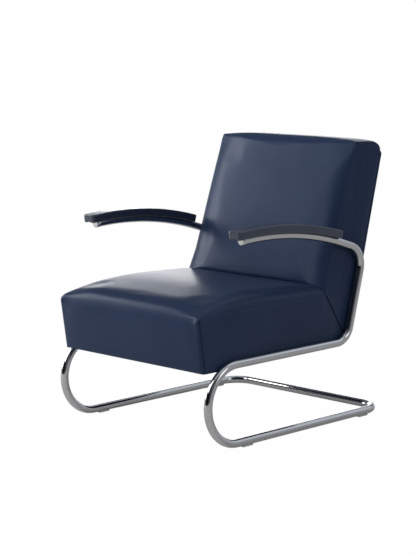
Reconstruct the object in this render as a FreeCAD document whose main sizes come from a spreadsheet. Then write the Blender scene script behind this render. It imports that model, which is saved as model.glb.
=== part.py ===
import FreeCAD, Part
import math
import os
import Sketcher
from FreeCAD import Placement, Rotation, Vector

# Cantilever lounge chair: one bent tube carries an upholstered seat, a back and two armrest pads.
# The chair faces -Y, +X is the sitter's left, +Z is up and Z 0 is the floor.
# Lengths are measured from the point where the floor runner runs into the front bend, and the finished
# pieces are then moved along Y so that the origin lies in the middle of the chair's depth.

document = FreeCAD.newDocument("CantileverLoungeChair")
sheet = document.addObject("Spreadsheet::Sheet", "Sizes")

driving_sizes = [
    # bent tube
    ("tube_diameter", 25.0),
    ("tube_wall", 2.5),
    ("frame_spacing", 638.5),
    ("bend_height", 234.1),
    ("base_depth", 643.8),
    ("base_corner_radius", 70.0),
    ("rail_length", 437.6),
    ("rear_bend_radius", 59.0),
    ("upright_lean", 15.75),
    ("upright_length", 178.3),
    ("arm_bend_radius", 65.7),
    ("arm_rise", 17.76),
    ("arm_straight", 33.2),
    ("arm_arch_radius", 1138.0),
    ("arm_arch_turn", 22.7),
    ("flex_gap", 0.3),
    # glides and caps
    ("glide_height", 2.5),
    ("glide_length", 40.0),
    ("glide_width", 16.0),
    ("glide_wrap", 3.4),
    ("glide_front_inset", 18.0),
    ("peg_diameter", 6.0),
    ("cap_dome", 3.0),
    ("cap_plug", 14.0),
    ("fit_gap", 0.1),
    # armrest pads
    ("pad_width", 48.0),
    ("pad_thickness", 25.0),
    ("pad_lift", 8.0),
    ("pad_overhang", 1.45),
    ("pad_sweep", 22.4),
    ("pad_corner_radius", 9.0),
    ("pad_edge_radius", 4.0),
    # upholstered seat
    ("side_gap", 1.75),
    ("seat_drop", 3.1),
    ("seat_front_reach", 121.0),
    ("seat_front_flare", 28.0),
    ("seat_side_height", 166.0),
    ("seat_roll", 48.0),
    ("seat_front_drop", 20.0),
    ("seat_rear_drop", 17.0),
    ("seat_peak", 118.0),
    ("seat_front_radius", 40.0),
    ("mitre_top_lead", 34.6),
    ("mitre_foot_reach", 70.4),
    ("seat_heel_reach", 18.4),
    ("mitre_heel_rise", 29.5),
    ("unit_gap", 0.6),
    # upholstered back
    ("back_lean", 15.0),
    ("back_front_lean", 19.6),
    ("back_height", 634.0),
    ("back_roll", 31.0),
    ("back_heel_rise", 60.0),
    ("back_top_drop", 13.0),
    ("back_top_fall", 11.0),
    ("back_edge_radius", 26.0),
    # covers, foam and frames
    ("leather", 1.5),
    ("seam_radius", 1.5),
    ("crown_radius", 1400.0),
    ("rear_top_radius", 12.0),
    ("front_foot_radius", 8.0),
    ("soft_gap", 0.3),
    ("foam_skirt", 8.0),
    ("board", 28.0),
    ("seat_rail_height", 60.0),
    ("stile_depth", 45.0),
    ("back_panel_thickness", 6.0),
    ("back_panel_edge", 2.5),
    ("back_frame_foot", 75.0),
    ("back_rail_height", 45.0),
    ("corner_block", 60.0),
    ("corner_block_height", 40.0),
    ("dust_cover", 1.0),
    ("felt", 3.0),
    ("webbing_width", 50.0),
    ("webbing_thickness", 2.0),
    # springs
    ("spring_wire", 3.8),
    ("spring_pitch", 38.0),
    ("spring_half_run", 8.0),
    ("clip_width", 18.0),
    ("clip_depth", 14.0),
    ("clip_sheet", 1.4),
    # fasteners
    ("bolt_diameter", 6.0),
    ("bolt_head_diameter", 13.0),
    ("bolt_head_height", 4.0),
    ("bolt_reach", 9.0),
    ("spacer_diameter", 12.0),
    ("nut_diameter", 9.0),
    ("nut_flange_diameter", 14.0),
    ("nut_flange", 0.8),
    ("nut_length", 12.0),
    ("seat_bolt_front", 60.0),
    ("seat_bolt_rear", 340.0),
    ("back_bolt_low", 80.0),
    ("back_bolt_high", 145.0),
    ("arm_screw_diameter", 4.0),
    ("arm_screw_head", 9.0),
    ("arm_screw_head_height", 2.4),
    ("arm_screw_bite", 14.0),
    ("arm_screw_clearance", 0.4),
    ("arm_screw_front", 3.5),
    ("arm_screw_rear", 12.75),
]
for row, (alias, value) in enumerate(driving_sizes, start=1):
    sheet.set(f"A{row}", alias)
    sheet.set(f"B{row}", str(value))
    sheet.setAlias(f"B{row}", alias)
document.recompute()

WEBBING_STRAPS = 5
SEAT_SPRINGS = 5
BEYOND = "Sizes.base_depth"


def number(expression):
    """Work an expression of the driving sizes out as a plain number."""
    result = sheet.evalExpression(expression)
    return float(getattr(result, "Value", result))


# places that follow from the driving sizes, as expressions that the pieces share

TUBE_RADIUS = "(Sizes.tube_diameter / 2)"
BORE_RADIUS = "(Sizes.tube_diameter / 2 - Sizes.tube_wall)"
SIDE_X = "(Sizes.frame_spacing / 2)"
FRONT_BEND_RADIUS = "(Sizes.bend_height / 2)"
RUNNER_Z = f"(Sizes.glide_height + {TUBE_RADIUS})"
RAIL_Z = f"({RUNNER_Z} + Sizes.bend_height)"
FLEX_Z = f"({RUNNER_Z} + {FRONT_BEND_RADIUS})"
UPRIGHT_FOOT_Y = "(Sizes.rail_length + Sizes.rear_bend_radius * cos(Sizes.upright_lean))"
UPRIGHT_FOOT_Z = f"({RAIL_Z} + Sizes.rear_bend_radius * (1 - sin(Sizes.upright_lean)))"
UPRIGHT_TOP_Y = f"({UPRIGHT_FOOT_Y} + Sizes.upright_length * sin(Sizes.upright_lean))"
UPRIGHT_TOP_Z = f"({UPRIGHT_FOOT_Z} + Sizes.upright_length * cos(Sizes.upright_lean))"
ARM_BEND_Y = f"({UPRIGHT_TOP_Y} - Sizes.arm_bend_radius * cos(Sizes.upright_lean))"
ARM_BEND_Z = f"({UPRIGHT_TOP_Z} + Sizes.arm_bend_radius * sin(Sizes.upright_lean))"
ARM_FOOT_Y = f"({ARM_BEND_Y} + Sizes.arm_bend_radius * sin(Sizes.arm_rise))"
ARM_FOOT_Z = f"({ARM_BEND_Z} + Sizes.arm_bend_radius * cos(Sizes.arm_rise))"
ARCH_FOOT_Y = f"({ARM_FOOT_Y} - Sizes.arm_straight * cos(Sizes.arm_rise))"
ARCH_FOOT_Z = f"({ARM_FOOT_Z} + Sizes.arm_straight * sin(Sizes.arm_rise))"
ARCH_CENTRE_Y = f"({ARCH_FOOT_Y} - Sizes.arm_arch_radius * sin(Sizes.arm_rise))"
ARCH_CENTRE_Z = f"({ARCH_FOOT_Z} - Sizes.arm_arch_radius * cos(Sizes.arm_rise))"
ARM_DIP = "(Sizes.arm_arch_turn - Sizes.arm_rise)"
ARM_END_Y = f"({ARCH_CENTRE_Y} - Sizes.arm_arch_radius * sin({ARM_DIP}))"
ARM_END_Z = f"({ARCH_CENTRE_Z} + Sizes.arm_arch_radius * cos({ARM_DIP}))"

HALF_WIDTH = f"({SIDE_X} - {TUBE_RADIUS} - Sizes.side_gap)"
SEAT_Z = f"({RAIL_Z} - {TUBE_RADIUS} - Sizes.seat_drop)"
SEAT_SIDE_TOP = f"({SEAT_Z} + Sizes.seat_side_height)"
MITRE_FOOT_Y = "(Sizes.rail_length + Sizes.mitre_foot_reach)"
MITRE_TOP_Y = "(Sizes.rail_length - Sizes.mitre_top_lead)"
BOARD_X = f"({HALF_WIDTH} - Sizes.leather - Sizes.soft_gap - Sizes.foam_skirt - Sizes.soft_gap)"
INNER_X = f"({BOARD_X} - Sizes.board)"
FRAME_FRONT_Y = "(-Sizes.seat_front_reach + Sizes.leather + 2 * Sizes.soft_gap + Sizes.foam_skirt)"
FRAME_Z = f"({SEAT_Z} + 2 * Sizes.soft_gap + Sizes.dust_cover)"
FRAME_TOP_Z = f"({FRAME_Z} + Sizes.seat_rail_height)"
MITRE_LEAN = "((Sizes.mitre_top_lead + Sizes.mitre_foot_reach) / Sizes.seat_side_height)"
SEAT_HEEL_Y = "(Sizes.rail_length + Sizes.seat_heel_reach)"
SPRING_Z = f"({FRAME_TOP_Z} + Sizes.clip_sheet + Sizes.spring_wire / 2 + Sizes.fit_gap)"
FELT_Z = f"({SPRING_Z} + Sizes.spring_wire / 2 + Sizes.clip_sheet + 2 * Sizes.soft_gap)"
FOAM_Z = f"({FELT_Z} + Sizes.felt + Sizes.soft_gap)"
FRAME_REAR_Y = (
    f"({MITRE_FOOT_Y} - ({FOAM_Z} - {SEAT_Z}) * {MITRE_LEAN} - Sizes.foam_skirt - 2 * Sizes.leather)"
)

BACK_FRONT_Y = "(-Sizes.back_panel_thickness - 3 * Sizes.soft_gap - Sizes.leather - Sizes.stile_depth)"
BACK_FRAME_TOP = (
    "((Sizes.back_height - Sizes.back_top_drop - Sizes.back_top_fall) / cos(Sizes.back_lean)"
    " - Sizes.back_edge_radius)"
)
DEPTH_FRONT = "(Sizes.seat_front_reach + Sizes.seat_front_flare)"
DEPTH_REAR = f"({MITRE_FOOT_Y} + (Sizes.back_height - Sizes.back_edge_radius) * tan(Sizes.back_lean))"
SHIFT_Y = f"(({DEPTH_FRONT} - {DEPTH_REAR}) / 2)"

sub_parts = []


# small helpers that make and place things


def bind(thing, **expressions):
    """Tie sizes and places to the driving sizes; a double underscore stands for the dot in a path."""
    for path, expression in expressions.items():
        thing.setExpression(path.replace("__", "."), expression)


def place(thing, x="0", y="0", z="0", axis=None, angle=None):
    """Bind a position, and a turn about a fixed axis, of a piece or a helper solid."""
    if axis is not None:
        thing.Placement = Placement(Vector(), Rotation(Vector(*axis), 1))
        bind(thing, Placement__Rotation__Angle=angle)
    bind(thing, Placement__Base__x=x, Placement__Base__y=y, Placement__Base__z=z)
    return thing


def finish(thing, label):
    """Name a sub-part and keep it for the export."""
    thing.Label = label
    sub_parts.append(thing)
    return thing


def solid(kind, name, **expressions):
    """A plain block or rod whose sizes follow the driving sizes."""
    thing = document.addObject(kind, name)
    bind(thing, **expressions)
    return thing


def cut(name, base, tool):
    thing = document.addObject("Part::Cut", name)
    thing.Base = base
    thing.Tool = tool
    return thing


def fuse(name, base, tool):
    thing = document.addObject("Part::Fuse", name)
    thing.Base = base
    thing.Tool = tool
    return thing


def group(name, members):
    """Separate solids that share one sub-part, or one set of drills."""
    thing = document.addObject("Part::Compound", name)
    thing.Links = members
    return thing


def mirrored(name, source):
    """The same piece on the sitter's other side."""
    thing = document.addObject("Part::Mirroring", name)
    thing.Source = source
    thing.Base = Vector(0, 0, 0)
    thing.Normal = Vector(1, 0, 0)
    return thing


def copies(name, prototype, places):
    """One sub-part made of equal solids, each with its own place."""
    members = []
    for index, spot in enumerate(places):
        link = document.addObject("App::Link", f"{name}_{index}")
        link.LinkedObject = prototype
        place(link, *spot)
        members.append(link)
    return group(name, members)


def origin_plane(body, role):
    return next(feature for feature in body.Origin.OriginFeatures if feature.Role == role)


def new_body(name):
    return document.addObject("PartDesign::Body", name)


def new_sketch(body, name, role, offset=None):
    """A flat outline on one of its body's own planes, moved out along the plane's normal if asked."""
    sketch = body.newObject("Sketcher::SketchObject", name)
    sketch.AttachmentSupport = (origin_plane(body, role), [""])
    sketch.MapMode = "FlatFace"
    if offset is not None:
        bind(sketch, AttachmentOffset__Base__z=offset)
    return sketch


def constrain(sketch, constraint, expression=None):
    index = sketch.addConstraint(constraint)
    if expression is not None:
        sketch.setExpression(f"Constraints[{index}]", expression)


def draw_rectangle(sketch, width, height, rise=None):
    """A rectangle whose first corner lies on the sketch's origin, or above it by the given rise."""
    across = number(width)
    low = number(rise) if rise else 0.0
    high = low + number(height)
    corners = [Vector(0, low), Vector(across, low), Vector(across, high), Vector(0, high)]
    first = sketch.GeometryCount
    for index, corner in enumerate(corners):
        sketch.addGeometry(Part.LineSegment(corner, corners[(index + 1) % 4]), False)
    for index in range(4):
        constrain(sketch, Sketcher.Constraint("Coincident", first + index, 2, first + (index + 1) % 4, 1))
    for index, direction in enumerate(("Horizontal", "Vertical", "Horizontal", "Vertical")):
        constrain(sketch, Sketcher.Constraint(direction, first + index))
    if rise:
        constrain(sketch, Sketcher.Constraint("PointOnObject", first, 1, -2))
        constrain(sketch, Sketcher.Constraint("DistanceY", -1, 1, first, 1, low), rise)
    else:
        constrain(sketch, Sketcher.Constraint("Coincident", first, 1, -1, 1))
    constrain(sketch, Sketcher.Constraint("DistanceX", first, 1, first, 2, across), width)
    constrain(sketch, Sketcher.Constraint("DistanceY", first + 1, 1, first + 1, 2, high - low), height)


def draw_circle(sketch, radius, across=None, up=None):
    """A circle at the sketch's origin, or at a bound place to its right and above it."""
    centre = Vector(number(across) if across else 0, number(up) if up else 0)
    circle = sketch.addGeometry(Part.Circle(centre, Vector(0, 0, 1), number(radius)), False)
    constrain(sketch, Sketcher.Constraint("Radius", circle, number(radius)), radius)
    if across is None and up is None:
        constrain(sketch, Sketcher.Constraint("Coincident", circle, 3, -1, 1))
        return
    if across is None:
        constrain(sketch, Sketcher.Constraint("PointOnObject", circle, 3, -2))
    else:
        constrain(sketch, Sketcher.Constraint("DistanceX", -1, 1, circle, 3, centre.x), across)
    if up is None:
        constrain(sketch, Sketcher.Constraint("PointOnObject", circle, 3, -1))
    else:
        constrain(sketch, Sketcher.Constraint("DistanceY", -1, 1, circle, 3, centre.y), up)


def pad(body, sketch, name, length, backwards=False):
    feature = body.newObject("PartDesign::Pad", name)
    feature.Profile = sketch
    feature.Reversed = backwards
    bind(feature, Length=length)
    return feature


def board(name, depth, height, length):
    """A straight board: its end is drawn from the front lower edge and it runs along X."""
    body = new_body(name)
    end = new_sketch(body, f"{name}_end", "YZ_Plane")
    draw_rectangle(end, depth, height)
    pad(body, end, f"{name}_length", length)
    return body


def stepped_pin(name, sections, bore=None):
    """A turned pin along +Z, bored if asked: each section is a radius, its start and its length."""
    body = new_body(name)
    for index, (radius, start, length) in enumerate(sections):
        ring = new_sketch(body, f"{name}_ring_{index}", "XY_Plane", start)
        draw_circle(ring, radius)
        if bore is not None:
            draw_circle(ring, bore)
        pad(body, ring, f"{name}_step_{index}", length)
    return body


# the bent tube


def arc_between(start, centre, turn, normal):
    """An arc from a point about a centre by an angle in degrees, with its end point."""
    spoke = start - centre
    middle = centre + Rotation(normal, turn / 2).multVec(spoke)
    end = centre + Rotation(normal, turn).multVec(spoke)
    return Part.Arc(start, middle, end).toShape(), end


def spine(name, edges):
    thing = document.addObject("Part::Feature", name)
    thing.Shape = Part.Wire(edges)
    return thing


def swept(name, path, radius, x, y, z, axis=None, angle=None):
    """A round rod along a path, whose section stands square to the path's start."""
    ring = place(solid("Part::Circle", f"{name}_ring", Radius=radius), x, y, z, axis, angle)
    rod = document.addObject("Part::Sweep", name)
    rod.Sections = [ring]
    rod.Spine = (path, [f"Edge{index + 1}" for index in range(len(path.Shape.Edges))])
    rod.Solid = True
    return rod


def base_spine():
    """From the left front bend down to the floor, back, across the rear and forward again."""
    side = number(SIDE_X)
    low = number(RUNNER_Z)
    bend = number(FRONT_BEND_RADIUS)
    corner = number("Sizes.base_corner_radius")
    rear = number("Sizes.base_depth")
    flex = number(FLEX_Z)
    edges = []
    front, end = arc_between(Vector(side, -bend, flex), Vector(side, 0, flex), 90, Vector(1, 0, 0))
    edges.append(front)
    turn_start = Vector(side, rear - corner, low)
    edges.append(Part.LineSegment(end, turn_start).toShape())
    turn, end = arc_between(turn_start, turn_start - Vector(corner, 0, 0), 90, Vector(0, 0, 1))
    edges.append(turn)
    far_turn = Vector(-side + corner, rear, low)
    edges.append(Part.LineSegment(end, far_turn).toShape())
    turn, end = arc_between(far_turn, far_turn - Vector(0, corner, 0), 90, Vector(0, 0, 1))
    edges.append(turn)
    edges.append(Part.LineSegment(end, Vector(-side, 0, low)).toShape())
    front, end = arc_between(Vector(-side, 0, low), Vector(-side, 0, flex), -90, Vector(1, 0, 0))
    edges.append(front)
    return spine("base_path", edges)


def side_spine():
    """From the left front bend up, back along the seat, up the back and forward as the arm."""
    side = number(SIDE_X)
    bend = number(FRONT_BEND_RADIUS)
    flex = number(FLEX_Z)
    lean = number("Sizes.upright_lean")
    rise = number("Sizes.arm_rise")
    start_angle = math.degrees(number("Sizes.flex_gap") / bend)
    along = Vector(-1, 0, 0)
    centre = Vector(side, 0, flex)
    start = centre + Rotation(along, start_angle).multVec(Vector(0, -bend, 0))
    front, end = arc_between(start, centre, 90 - start_angle, along)
    rail_end = Vector(side, number("Sizes.rail_length"), number(RAIL_Z))
    edges = [front, Part.LineSegment(end, rail_end).toShape()]
    centre = rail_end + Vector(0, 0, number("Sizes.rear_bend_radius"))
    rear, end = arc_between(rail_end, centre, 90 - lean, Vector(1, 0, 0))
    edges.append(rear)
    upright_top = Vector(side, number(UPRIGHT_TOP_Y), number(UPRIGHT_TOP_Z))
    edges.append(Part.LineSegment(end, upright_top).toShape())
    centre = Vector(side, number(ARM_BEND_Y), number(ARM_BEND_Z))
    elbow, end = arc_between(upright_top, centre, 90 + lean - rise, Vector(1, 0, 0))
    edges.append(elbow)
    arch_foot = Vector(side, number(ARCH_FOOT_Y), number(ARCH_FOOT_Z))
    edges.append(Part.LineSegment(end, arch_foot).toShape())
    centre = Vector(side, number(ARCH_CENTRE_Y), number(ARCH_CENTRE_Z))
    arch, end = arc_between(arch_foot, centre, number("Sizes.arm_arch_turn"), Vector(1, 0, 0))
    edges.append(arch)
    return spine("side_path", edges)


GLIDE_REAR_Y = "(Sizes.base_depth - Sizes.base_corner_radius - Sizes.glide_length)"
GLIDE_PLACES = [
    (f"{sign} * {SIDE_X}", spot) for sign in ("1", "-1") for spot in ("Sizes.glide_front_inset", GLIDE_REAR_Y)
]


def base_tube():
    """Floor loop of the frame up to the middle of its two front bends."""
    path = base_spine()
    start = (SIDE_X, f"-{FRONT_BEND_RADIUS}", FLEX_Z)
    outside = swept("base_outside", path, TUBE_RADIUS, *start)
    bore = swept("base_bore", path, BORE_RADIUS, *start)
    pipe = cut("base_pipe", outside, bore)
    drills = []
    for index, (x, y) in enumerate(GLIDE_PLACES):
        radius = "Sizes.peg_diameter / 2 + Sizes.fit_gap"
        drill = solid("Part::Cylinder", f"peg_drill_{index}", Radius=radius, Height=RUNNER_Z)
        drills.append(place(drill, x, f"{y} + Sizes.glide_length / 2", "0"))
    thing = cut("base_tube_drilled", pipe, group("peg_drills", drills))
    finish(place(thing, y=SHIFT_Y), "base_tube")


def floor_glides():
    """Clear saddles under the runners, each with a peg in the tube's lower wall."""
    members = []
    for index, (x, y) in enumerate(GLIDE_PLACES):
        block = solid("Part::Box", f"glide_block_{index}", Length="Sizes.glide_width")
        bind(block, Width="Sizes.glide_length", Height="Sizes.glide_height + Sizes.glide_wrap")
        place(block, f"{x} - Sizes.glide_width / 2", y, "0")
        runner = solid("Part::Cylinder", f"glide_seat_{index}", Radius=f"{TUBE_RADIUS} + Sizes.fit_gap")
        bind(runner, Height="2 * Sizes.glide_length")
        place(runner, x, f"{y} + Sizes.glide_length * 3 / 2", RUNNER_Z, (1, 0, 0), "90")
        peg = solid("Part::Cylinder", f"glide_peg_{index}", Radius="Sizes.peg_diameter / 2")
        bind(peg, Height="Sizes.glide_height + 2 * Sizes.tube_wall")
        place(peg, x, f"{y} + Sizes.glide_length / 2", "0")
        members.append(fuse(f"glide_{index}", cut(f"glide_saddle_{index}", block, runner), peg))
    finish(place(group("glides", members), y=SHIFT_Y), "floor_glides")


# where bolts and screws cross the tubes

SEAT_BOLT_PLACES = [("Sizes.seat_bolt_front", RAIL_Z), ("Sizes.seat_bolt_rear", RAIL_Z)]
BACK_BOLT_PLACES = [
    (
        f"({UPRIGHT_FOOT_Y} + {reach} * sin(Sizes.upright_lean))",
        f"({UPRIGHT_FOOT_Z} + {reach} * cos(Sizes.upright_lean))",
    )
    for reach in ("Sizes.back_bolt_low", "Sizes.back_bolt_high")
]
ARM_SCREW_ANGLES = ["(-Sizes.arm_screw_front)", "Sizes.arm_screw_rear"]
TUBE_INNER_X = f"({SIDE_X} - {TUBE_RADIUS})"


def cross_bores(name, places, radius, start, length):
    """Drills along +X at the given places, for the sitter's left side."""
    drills = []
    for index, (y, z) in enumerate(places):
        drill = solid("Part::Cylinder", f"{name}_{index}", Radius=radius, Height=length)
        drills.append(place(drill, start, y, z, (0, 1, 0), "90"))
    return drills


def arch_place(thing, angle, radius, x=SIDE_X):
    """Stand something on the arm's arch, square to it, at an angle behind the arch's top."""
    y = f"{ARCH_CENTRE_Y} + ({radius}) * sin({angle})"
    z = f"{ARCH_CENTRE_Z} + ({radius}) * cos({angle})"
    return place(thing, x, y, z, (-1, 0, 0), angle)


def arm_bores(name, radius, start, length):
    """Drills for the armrest screws, square to the arch, from a height above the tube's centre."""
    drills = []
    for index, angle in enumerate(ARM_SCREW_ANGLES):
        drill = solid("Part::Cylinder", f"{name}_{index}", Radius=radius, Height=length)
        drills.append(arch_place(drill, angle, f"Sizes.arm_arch_radius + {start}"))
    return drills


def side_tubes():
    """Upper part of the frame on each side: half the front bend, seat rail, upright and arm."""
    path = side_spine()
    tilt = f"Sizes.flex_gap / {FRONT_BEND_RADIUS} * 180 / pi"
    start = (
        SIDE_X,
        f"-{FRONT_BEND_RADIUS} * cos({tilt})",
        f"{FLEX_Z} + {FRONT_BEND_RADIUS} * sin({tilt})",
        (-1, 0, 0),
        tilt,
    )
    outside = swept("side_outside", path, TUBE_RADIUS, *start)
    bore = swept("side_bore", path, BORE_RADIUS, *start)
    pipe = cut("side_pipe", outside, bore)
    wall_radius = "Sizes.nut_diameter / 2 + Sizes.fit_gap"
    wall_start = f"{TUBE_INNER_X} - 1"
    drills = cross_bores(
        "nut_drill", SEAT_BOLT_PLACES + BACK_BOLT_PLACES, wall_radius, wall_start, TUBE_RADIUS
    )
    shank = "Sizes.arm_screw_diameter / 2 + Sizes.fit_gap"
    drills += arm_bores("arm_drill", shank, "0", "Sizes.tube_diameter")
    access = "Sizes.arm_screw_head / 2 + Sizes.arm_screw_clearance"
    drills += arm_bores("arm_access", access, "(-Sizes.tube_diameter)", "Sizes.tube_diameter")
    thing = cut("left_tube_drilled", pipe, group("side_drills", drills))
    finish(place(thing, y=SHIFT_Y), "left_side_tube")
    finish(mirrored("right_tube_drilled", thing), "right_side_tube")


def tube_caps():
    """Low domed plug in the open front end of each arm."""
    body = stepped_pin(
        "left_cap",
        [
            (f"{BORE_RADIUS} - Sizes.fit_gap", "-Sizes.cap_plug", "Sizes.cap_plug"),
            (TUBE_RADIUS, "0", "Sizes.cap_dome"),
        ],
    )
    document.recompute()
    disc = body.Tip
    rim = body.newObject("PartDesign::Fillet", "left_cap_dome")
    rim.Base = (disc, [edge_at(disc, number("Sizes.cap_dome"))])
    bind(rim, Radius="Sizes.cap_dome * 0.8")
    place(body, SIDE_X, f"{ARM_END_Y} + {SHIFT_Y}", ARM_END_Z, (1, 0, 0), f"90 + {ARM_DIP}")
    finish(body, "left_tube_cap")
    finish(mirrored("right_cap", body), "right_tube_cap")


def edge_at(feature, height):
    """Name of the circular edge that lies at one height of a turned piece."""
    for index, edge in enumerate(feature.Shape.Edges, start=1):
        box = edge.BoundBox
        if abs(box.ZMin - height) < 0.01 and abs(box.ZMax - height) < 0.01:
            return f"Edge{index}"
    raise ValueError(f"{feature.Label} has no edge at {height}")


# armrest pads


def arched_pad():
    """A flat bar turned about the arch's centre, rounded at its ends and edges, with a groove below."""
    body = new_body("left_pad")
    end = new_sketch(body, "pad_end", "XY_Plane")
    low = "Sizes.arm_arch_radius + Sizes.pad_lift"
    draw_rectangle(end, "Sizes.pad_width", "Sizes.pad_thickness", rise=low)
    bar = body.newObject("PartDesign::Revolution", "pad_bar")
    bar.Profile = end
    bar.ReferenceAxis = (end, ["H_Axis"])
    bind(bar, Angle="Sizes.pad_sweep")
    document.recompute()
    corners = body.newObject("PartDesign::Fillet", "pad_corners")
    corners.Base = (bar, [name for name, span in radial_spans(bar) if span[1] - span[0] > 1])
    bind(corners, Radius="Sizes.pad_corner_radius")
    document.recompute()
    edges = body.newObject("PartDesign::Fillet", "pad_edges")
    rims = [name for name, span in radial_spans(corners) if span[1] - span[0] < 0.5]
    edges.Base = (corners, rims)
    bind(edges, Radius="Sizes.pad_edge_radius")
    document.recompute()
    ring = new_sketch(body, "pad_groove_ring", "XY_Plane")
    draw_circle(ring, f"{TUBE_RADIUS} + Sizes.fit_gap", "Sizes.pad_width / 2", "Sizes.arm_arch_radius")
    groove = body.newObject("PartDesign::Groove", "pad_groove")
    groove.Profile = ring
    groove.ReferenceAxis = (ring, ["H_Axis"])
    groove.Angle = 360
    rear = "(90 + Sizes.arm_arch_turn - Sizes.arm_rise + Sizes.pad_overhang - Sizes.pad_sweep)"
    place(body, f"{SIDE_X} - Sizes.pad_width / 2", ARCH_CENTRE_Y, ARCH_CENTRE_Z, (1, 0, 0), rear)
    return body


def radial_spans(feature):
    """Each edge of the pad with the least and greatest distance from the arch's centre axis."""
    spans = []
    for index, edge in enumerate(feature.Shape.Edges, start=1):
        points = edge.discretize(9)
        reach = [math.hypot(point.y, point.z) for point in points]
        spans.append((f"Edge{index}", (min(reach), max(reach))))
    return spans


ARM_SHANK = "Sizes.arm_screw_diameter / 2 + Sizes.fit_gap / 2"
ARM_SHANK_TOP = f"({TUBE_RADIUS} + Sizes.arm_screw_bite)"
ARM_HEAD_TOP = f"(sqrt({BORE_RADIUS} ^ 2 - (Sizes.arm_screw_head / 2) ^ 2) - Sizes.fit_gap)"


def armrests():
    body = arched_pad()
    bores = arm_bores("pad_drill", ARM_SHANK, "0", f"{ARM_SHANK_TOP} + Sizes.fit_gap")
    drilled = cut("left_pad_drilled", body, group("pad_drills", bores))
    finish(place(drilled, y=SHIFT_Y), "left_armrest")
    finish(mirrored("right_pad", drilled), "right_armrest")


def armrest_screws():
    """Pan head screws inside the arms, put in through holes underneath, that run up into the pads."""
    prototype = stepped_pin(
        "arm_screw",
        [
            ("Sizes.arm_screw_head / 2", "-Sizes.arm_screw_head_height", "Sizes.arm_screw_head_height"),
            ("Sizes.arm_screw_diameter / 2", "0", f"{ARM_SHANK_TOP} - {ARM_HEAD_TOP}"),
        ],
    )
    members = []
    for side, sign in (("left", "1"), ("right", "-1")):
        for index, angle in enumerate(ARM_SCREW_ANGLES):
            link = document.addObject("App::Link", f"{side}_arm_screw_{index}")
            link.LinkedObject = prototype
            radius = f"Sizes.arm_arch_radius + {ARM_HEAD_TOP}"
            members.append(arch_place(link, angle, radius, f"{sign} * {SIDE_X}"))
    finish(place(group("arm_screws", members), y=SHIFT_Y), "armrest_screws")


# fasteners between the tubes and the upholstered frames

BOLT_BORE = "Sizes.bolt_diameter / 2 + Sizes.fit_gap"
SPACER_BORE = "Sizes.spacer_diameter / 2 + Sizes.soft_gap"


def on_both_sides(x, places):
    """Places for copies that stand along X, pointing outwards, on the left and on the right."""
    spots = []
    for y, z in places:
        spots.append((x, y, z, (0, 1, 0), "90"))
        spots.append((f"-{x}", y, z, (0, -1, 0), "90"))
    return spots


def frame_bolts():
    """Bolts from inside the wooden frames, their sleeves, and the threaded nuts in the tubes."""
    bolt = stepped_pin(
        "bolt",
        [
            ("Sizes.bolt_head_diameter / 2", "-Sizes.bolt_head_height", "Sizes.bolt_head_height"),
            ("Sizes.bolt_diameter / 2", "0", f"{TUBE_INNER_X} + Sizes.bolt_reach - {INNER_X}"),
        ],
    )
    sleeve = stepped_pin(
        "sleeve",
        [("Sizes.spacer_diameter / 2", "0", f"{TUBE_INNER_X} - Sizes.nut_flange - {BOARD_X}")],
        bore=BOLT_BORE,
    )
    nut = stepped_pin(
        "nut",
        [
            ("Sizes.nut_flange_diameter / 2", "-Sizes.nut_flange", "Sizes.nut_flange"),
            ("Sizes.nut_diameter / 2", "0", "Sizes.nut_length"),
        ],
        bore=BOLT_BORE,
    )
    for name, places in (("seat", SEAT_BOLT_PLACES), ("back", BACK_BOLT_PLACES)):
        bolts = copies(f"{name}_bolt_set", bolt, on_both_sides(INNER_X, places))
        finish(place(bolts, y=SHIFT_Y), f"{name}_bolts")
        sleeves = copies(f"{name}_sleeve_set", sleeve, on_both_sides(BOARD_X, places))
        finish(place(sleeves, y=SHIFT_Y), f"{name}_spacers")
    nuts = copies("nut_set", nut, on_both_sides(TUBE_INNER_X, SEAT_BOLT_PLACES + BACK_BOLT_PLACES))
    finish(place(nuts, y=SHIFT_Y), "tube_nuts")


def drill_both_sides(name, thing, places, radius, start, length):
    """Cut bolt or sleeve holes through the left and the right of a piece."""
    left = group(f"{name}_left_holes", cross_bores(f"{name}_hole", places, radius, start, length))
    both = group(f"{name}_holes", [left, mirrored(f"{name}_right_holes", left)])
    return cut(f"{name}_drilled", thing, both)


# seat frame


def seat_rails():
    depth = f"{FRAME_REAR_Y} - {FRAME_FRONT_Y}"
    side = board("seat_side", depth, "Sizes.seat_rail_height", "Sizes.board")
    place(side, INNER_X, FRAME_FRONT_Y, FRAME_Z)
    drills = cross_bores("rail_bore", SEAT_BOLT_PLACES, BOLT_BORE, INNER_X, "Sizes.board")
    bores = group("seat_rail_bores", drills)
    left = cut("seat_left_rail_drilled", side, bores)
    finish(place(left, y=SHIFT_Y), "seat_left_rail")
    finish(mirrored("seat_right_rail_drilled", left), "seat_right_rail")
    for name, y in (("front", FRAME_FRONT_Y), ("rear", f"{FRAME_REAR_Y} - Sizes.board")):
        rail = board(f"seat_{name}", "Sizes.board", "Sizes.seat_rail_height", f"2 * {INNER_X}")
        finish(place(rail, f"-{INNER_X}", f"{y} + {SHIFT_Y}", FRAME_Z), f"seat_{name}_rail")


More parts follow.
